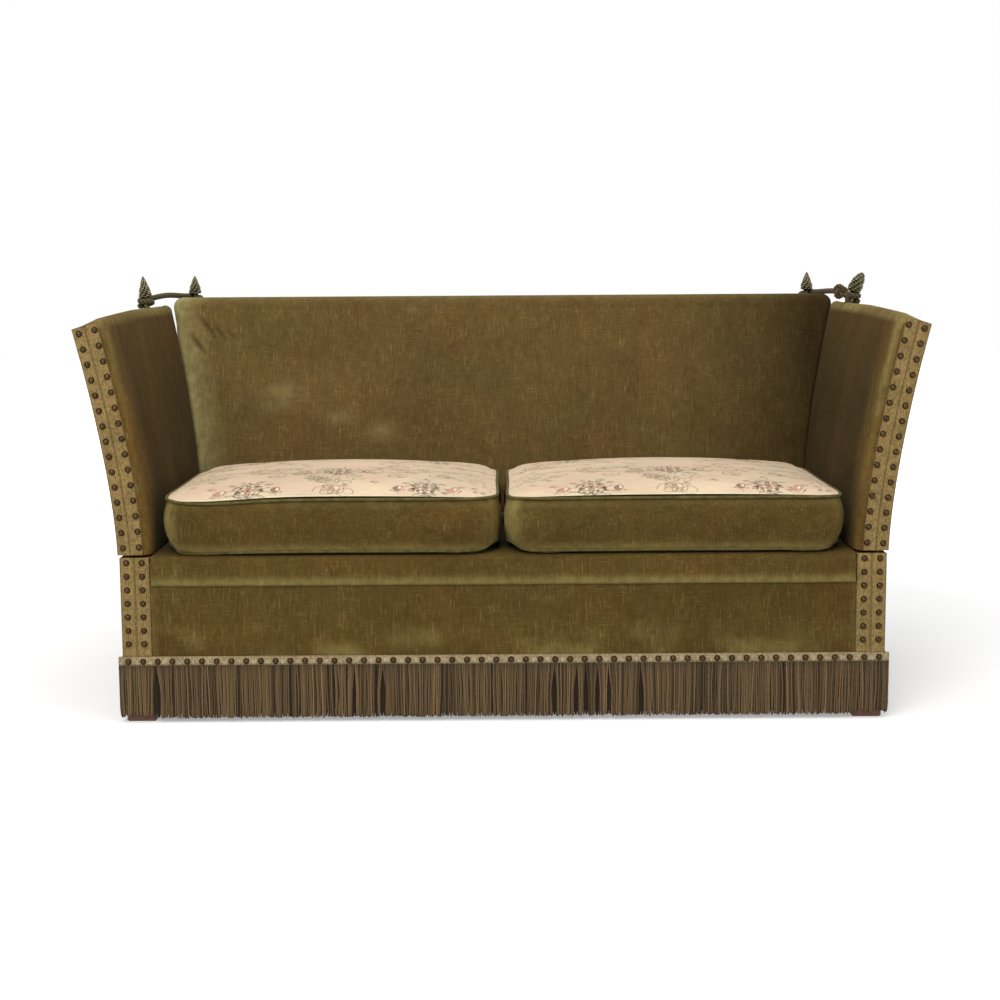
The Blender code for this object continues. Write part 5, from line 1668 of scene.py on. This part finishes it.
def around(x, y, wide, deep, angle):
    return x + wide * math.cos(angle), y + deep * math.sin(angle)


class Cloth:
    """A small flat picture of the weave, painted in dabs, that colours the cushion tops."""

    def __init__(self, width, height):
        self.low = np.array([-width / 2, -height / 2])
        self.rows, self.columns = int(height / CLOTH_PIXEL), int(width / CLOTH_PIXEL)
        self.image = np.tile(CREAM, (self.rows, self.columns, 1))

    def dab(self, x, y, long, wide, angle, colour, strength=0.85):
        reach = max(long, wide) * 1.3
        low, high = (
            ((np.array([x + r, y + r]) - self.low) / CLOTH_PIXEL).astype(int)
            for r in (-reach, reach)
        )
        (c0, r0), (c1, r1) = np.maximum(low, 0), np.minimum(high + 2, (self.columns, self.rows))
        if c0 >= c1 or r0 >= r1:
            return
        xs = self.low[0] + (np.arange(c0, c1) + 0.5) * CLOTH_PIXEL - x
        ys = self.low[1] + (np.arange(r0, r1)[:, None] + 0.5) * CLOTH_PIXEL - y
        along = (xs * math.cos(angle) + ys * math.sin(angle)) / long
        across = (-xs * math.sin(angle) + ys * math.cos(angle)) / wide
        inside = unit((1 - np.sqrt(along**2 + across**2)) * max(long, wide) / CLOTH_PIXEL / 1.5)
        share = (inside * strength)[..., None]
        self.image[r0:r1, c0:c1] = self.image[r0:r1, c0:c1] * (1 - share) + colour * share

    def line(self, points, width, colour, strength=0.7):
        for (x0, y0), (x1, y1) in zip(points, points[1:]):
            steps = max(1, int(math.hypot(x1 - x0, y1 - y0) / (width * 0.7)))
            for s in np.arange(steps) / steps:
                self.dab(x0 + (x1 - x0) * s, y0 + (y1 - y0) * s, width, width, 0, colour, strength)

    def petal(self, x, y, long, wide, angle, colour, line=DARK_ROSE):
        """A dab of colour with a darker outline."""
        self.dab(x, y, long + 0.0016, wide + 0.0016, angle, line, 0.75)
        self.dab(x, y, long, wide, angle, colour, 0.95)
        self.dab(x, y, long * 0.45, wide * 0.4, angle, CREAM, 0.35)

    def leaf(self, x, y, size, angle, colour):
        for s in (-1.0, -0.5, 0.0, 0.5, 1.0):
            wide = size * 0.26 * (1 - 0.75 * abs(s))
            at = around(x, y, s * size * 0.5, s * size * 0.5, angle)
            self.dab(*at, size * 0.22, wide, angle, colour, 0.95)

    def spiral(self, x, y, size, turn, hand, colour):
        shares = np.arange(26) / 25
        reaches, angles = size * (1 - 0.82 * shares), turn + hand * TURN * 1.25 * shares
        points = [around(x, y, reach, reach, angle) for reach, angle in zip(reaches, angles)]
        self.line(points, 0.0017, colour, 0.85)

    def bouquet(self, x, y, wide, deep, random):
        """A pale rose in a dense wreath of small dark leaves."""
        for k in range(54):
            angle = TURN * k / 54 + random.uniform(-0.1, 0.1)
            reach = random.uniform(0.52, 1.08)
            at = around(x, y, wide * reach, deep * reach, angle)
            colour = (LEAF, DARK_ROSE, LEAF, PALE_LEAF)[k % 4]
            self.leaf(*at, wide * random.uniform(0.34, 0.56), random.uniform(0, math.pi), colour)
        for k in range(12):
            angle, reach = TURN * k / 12, 0.40 if k % 2 else 0.58
            at = around(x, y, wide * reach, deep * reach, angle)
            self.petal(*at, wide * 0.20, wide * 0.13, angle, LIGHT if k % 3 else PINK)
        for k in range(5):
            angle = 0.5 + TURN * k / 5
            self.petal(
                *around(x, y, wide * 0.17, deep * 0.17, angle),
                wide * 0.15, wide * 0.09, angle, PINK,
            )
        self.dab(x, y, wide * 0.10, wide * 0.10, 0, DARK_ROSE)

    def bud(self, x, y, size, turn, colour):
        """A half-open flower with two leaves on a short stem."""
        self.line([(x, y - size), (x + 0.004, y - size * 1.9)], 0.0011, LEAF, 0.85)
        self.petal(x, y, size, size * 0.72, turn, colour, MAUVE)
        self.petal(
            x + size * 0.3, y + size * 0.2, size * 0.52, size * 0.30, turn + 0.6, LIGHT, MAUVE
        )
        self.petal(x - size * 0.35, y + size * 0.1, size * 0.45, size * 0.26, turn - 0.7, colour)
        for way in (-1, 1):
            self.leaf(x + way * size * 1.05, y - size * 0.8, size * 0.75, 1.57 - way * 0.9, LEAF)
            self.leaf(
                x + way * size * 0.5, y - size * 1.35, size * 0.5, 1.57 + way * 0.6, PALE_LEAF
            )

    def spray(self, x, y, size, mirror, random):
        """A bouquet with a pink bud to one side and a darker one to the other, on leafy stems."""
        for k in range(14):
            angle = TURN * k / 14 + random.uniform(-0.2, 0.2)
            reach = random.uniform(1.15, 1.65)
            lx, ly = around(x, y, size * reach, size * 1.55 * reach, angle)
            self.line([(x, y), ((x + lx) / 2 + 0.004, (y + ly) / 2), (lx, ly)], 0.0010, LEAF, 0.7)
            self.leaf(lx, ly, size * 0.34, angle, DARK_ROSE if k % 3 else LEAF)
            self.leaf(
                lx * 0.85 + x * 0.15 + 0.003, ly * 0.85 + y * 0.15,
                size * 0.26, angle + 0.9, PALE_LEAF,
            )
        self.bouquet(x, y, size, size * 1.55, random)
        for across, up, share, turn, colour in SPRAY_BUDS:
            self.bud(x + mirror * size * across, y + size * up, size * share, turn, colour)

    def swag(self, x0, y0, x1, y1, sag, colour):
        """A pair of thin lines hung between two places, with curls along them."""

        def hung(s):
            return x0 + (x1 - x0) * s, y0 + (y1 - y0) * s - 4 * sag * s * (1 - s)

        for lift in (0.0, 0.006):
            points = [hung(k / 24) for k in range(25)]
            self.line([(x, y + lift) for x, y in points], 0.0017, colour, 0.85)
        for k in range(5):
            x, y = hung((k + 0.5) / 5)
            self.spiral(x, y - 0.008, 0.009, 1.5 * k, 1 if k % 2 else -1, colour)


def paint_cloth():
    """The traditional floral pattern: sprays in a lattice, scrolls and swags between them."""
    cloth = Cloth(*CLOTH_SIZE)
    random = np.random.default_rng(7)
    rows, columns = np.arange(cloth.rows)[:, None], np.arange(cloth.columns)
    cloth.image *= (1 + 0.03 * np.sin(rows * 0.021) + 0.03 * np.sin(columns * 0.017))[..., None]
    for _ in range(90):  # faint pinkish clouds
        x, y = random.uniform(-0.36, 0.36), random.uniform(-0.33, 0.33)
        cloth.dab(
            x, y, random.uniform(0.02, 0.06), random.uniform(0.015, 0.04),
            random.uniform(0, 3), BLUSH, 0.25,
        )
    # Painted highlight: a pale cream strip along the front slope
    front = bell(rows * CLOTH_PIXEL - 0.014, 0.030)[..., None] * 0.90
    cloth.image = cloth.image * (1 - front) + LIGHT * front
    for x, y in SCROLLS:
        for _ in range(8):
            cloth.spiral(
                x + random.uniform(-0.05, 0.05), y + random.uniform(-0.04, 0.04),
                random.uniform(0.012, 0.028), random.uniform(0, TURN),
                random.choice((-1, 1)), SCROLL,
            )
    for swag in SWAGS:
        cloth.swag(*swag, SCROLL)
    for k in range(46):  # small single flowers between
        x, y = random.uniform(-0.34, 0.34), random.uniform(-0.28, 0.30)
        cloth.bud(
            x, y, random.uniform(0.005, 0.009), random.uniform(0, 3),
            (PALE_ROSE, PINK, BLUSH)[k % 3],
        )
    for x, y, mirror in SPRAYS:
        cloth.spray(x, y, SPRAY_SIZE, mirror, random)
    return cloth


def tapestry_colours(x, y):
    """Colours of the pattern at plan positions on a cushion, from its middle."""
    column = np.clip(((x - CLOTH.low[0]) / CLOTH_PIXEL).astype(int), 0, CLOTH.columns - 1)
    row = np.clip(((y - CLOTH.low[1]) / CLOTH_PIXEL).astype(int), 0, CLOTH.rows - 1)
    return CLOTH.image[row, column]


CLOTH = paint_cloth()


def make_deck(cloth):
    half = COVER_BACK - RAIL_THICKNESS + 0.012 - TOUCH
    deck = panel(
        "deck_cloth", (-half, half), (LIP_RUN + TOUCH, FRAME_REAR - LEG_WIDTH - TOUCH),
        lambda a, b, out: place(a, b, WEBBING_TOP + TOUCH + out),
        DECK_TOP - WEBBING_TOP - 2 * TOUCH, 0.006, cloth,
    )
    dress(deck, "frame", "platform_cloth", "seat_deck", padded=0.9)


def dress_frame(platform):
    """Wood, webbing and metal for the CAD's own nodes, by the start or the end of their names."""
    stained = wood_finish("stained_beech", srgb(84, 50, 34), srgb(124, 82, 58), 0.42)
    iron = metal_finish("hinge_brass_worn", srgb(120, 96, 56), srgb(196, 166, 106), 0.38)
    jute = cloth_finish("jute_webbing", srgb(128, 104, 70), srgb(184, 160, 118), 0.0030)
    beech = wood_finish("beech_planed", srgb(160, 120, 80), srgb(196, 158, 112), 0.55)
    kinds = {"leg": stained, "hinge": iron, "webbing": jute, "dust": platform}
    for name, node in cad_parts.items():
        words = name.split("_")
        node.data.materials.clear()
        node.data.materials.append(kinds.get(words[0]) or kinds.get(words[-1]) or beech)


def main():
    add_camera()
    make_cords(rope_finish())
    add_world()
    add_stage()
    add_lamps()
    # The same velvet in three copies, their colours set part by part to how each part looks under
    # its light: painted light; the arms' copy also has stronger streaks
    velvet = velvet_finish("velvet_front", srgb(92, 69, 33), srgb(89, 74, 36), srgb(140, 125, 74))
    velvet_back = velvet_finish(
        "velvet_back", srgb(98, 76, 43), srgb(94, 79, 44), srgb(141, 133, 89), math.tan(BACK_RAKE)
    )
    velvet_arms = velvet_finish(
        "velvet_arms", srgb(98, 67, 29), srgb(90, 71, 32), srgb(146, 133, 82),
        sideways=0.12, streaks=1.0,
    )
    braid = braid_finish("gimp_braid", srgb(92, 72, 36), srgb(170, 144, 88))
    heading = braid_finish(
        "fringe_heading_weave", srgb(106, 89, 60), srgb(186, 167, 127), 0.0060, 0.0299
    )
    platform = cloth_finish("platform_linen", srgb(66, 60, 42), srgb(96, 90, 66), 0.0016)
    brass = metal_finish("nail_brass", srgb(22, 14, 8), srgb(86, 66, 42), 0.18)
    gilt = metal_finish("cast_gilt", srgb(22, 19, 12), srgb(142, 134, 102), 0.28, 160.0)
    tapestry, piping = tapestry_finish(), welt_finish()
    dress_frame(platform)
    make_base(velvet, braid)
    make_base_nails(brass)
    make_fringe(fringe_finish(), heading)
    make_back(velvet_back)
    make_deck(platform)
    for side, sign in SIDES.items():
        make_arm(side, sign, velvet_arms, braid, brass)
        for where, body, node in (
            ("arm", f"arm_{side}", f"arm_{side}_finial"), ("back", "frame", f"back_finial_{side}"),
        ):
            stand = finial_frame(side, sign, where)
            make_finial(f"finial_{where}_{side}", stand, FINIAL_HEIGHTS[where], gilt, body, node)
        make_cushion(side, sign, velvet, tapestry, piping)


main()
bpy.context.scene.view_settings.view_transform = "Standard"
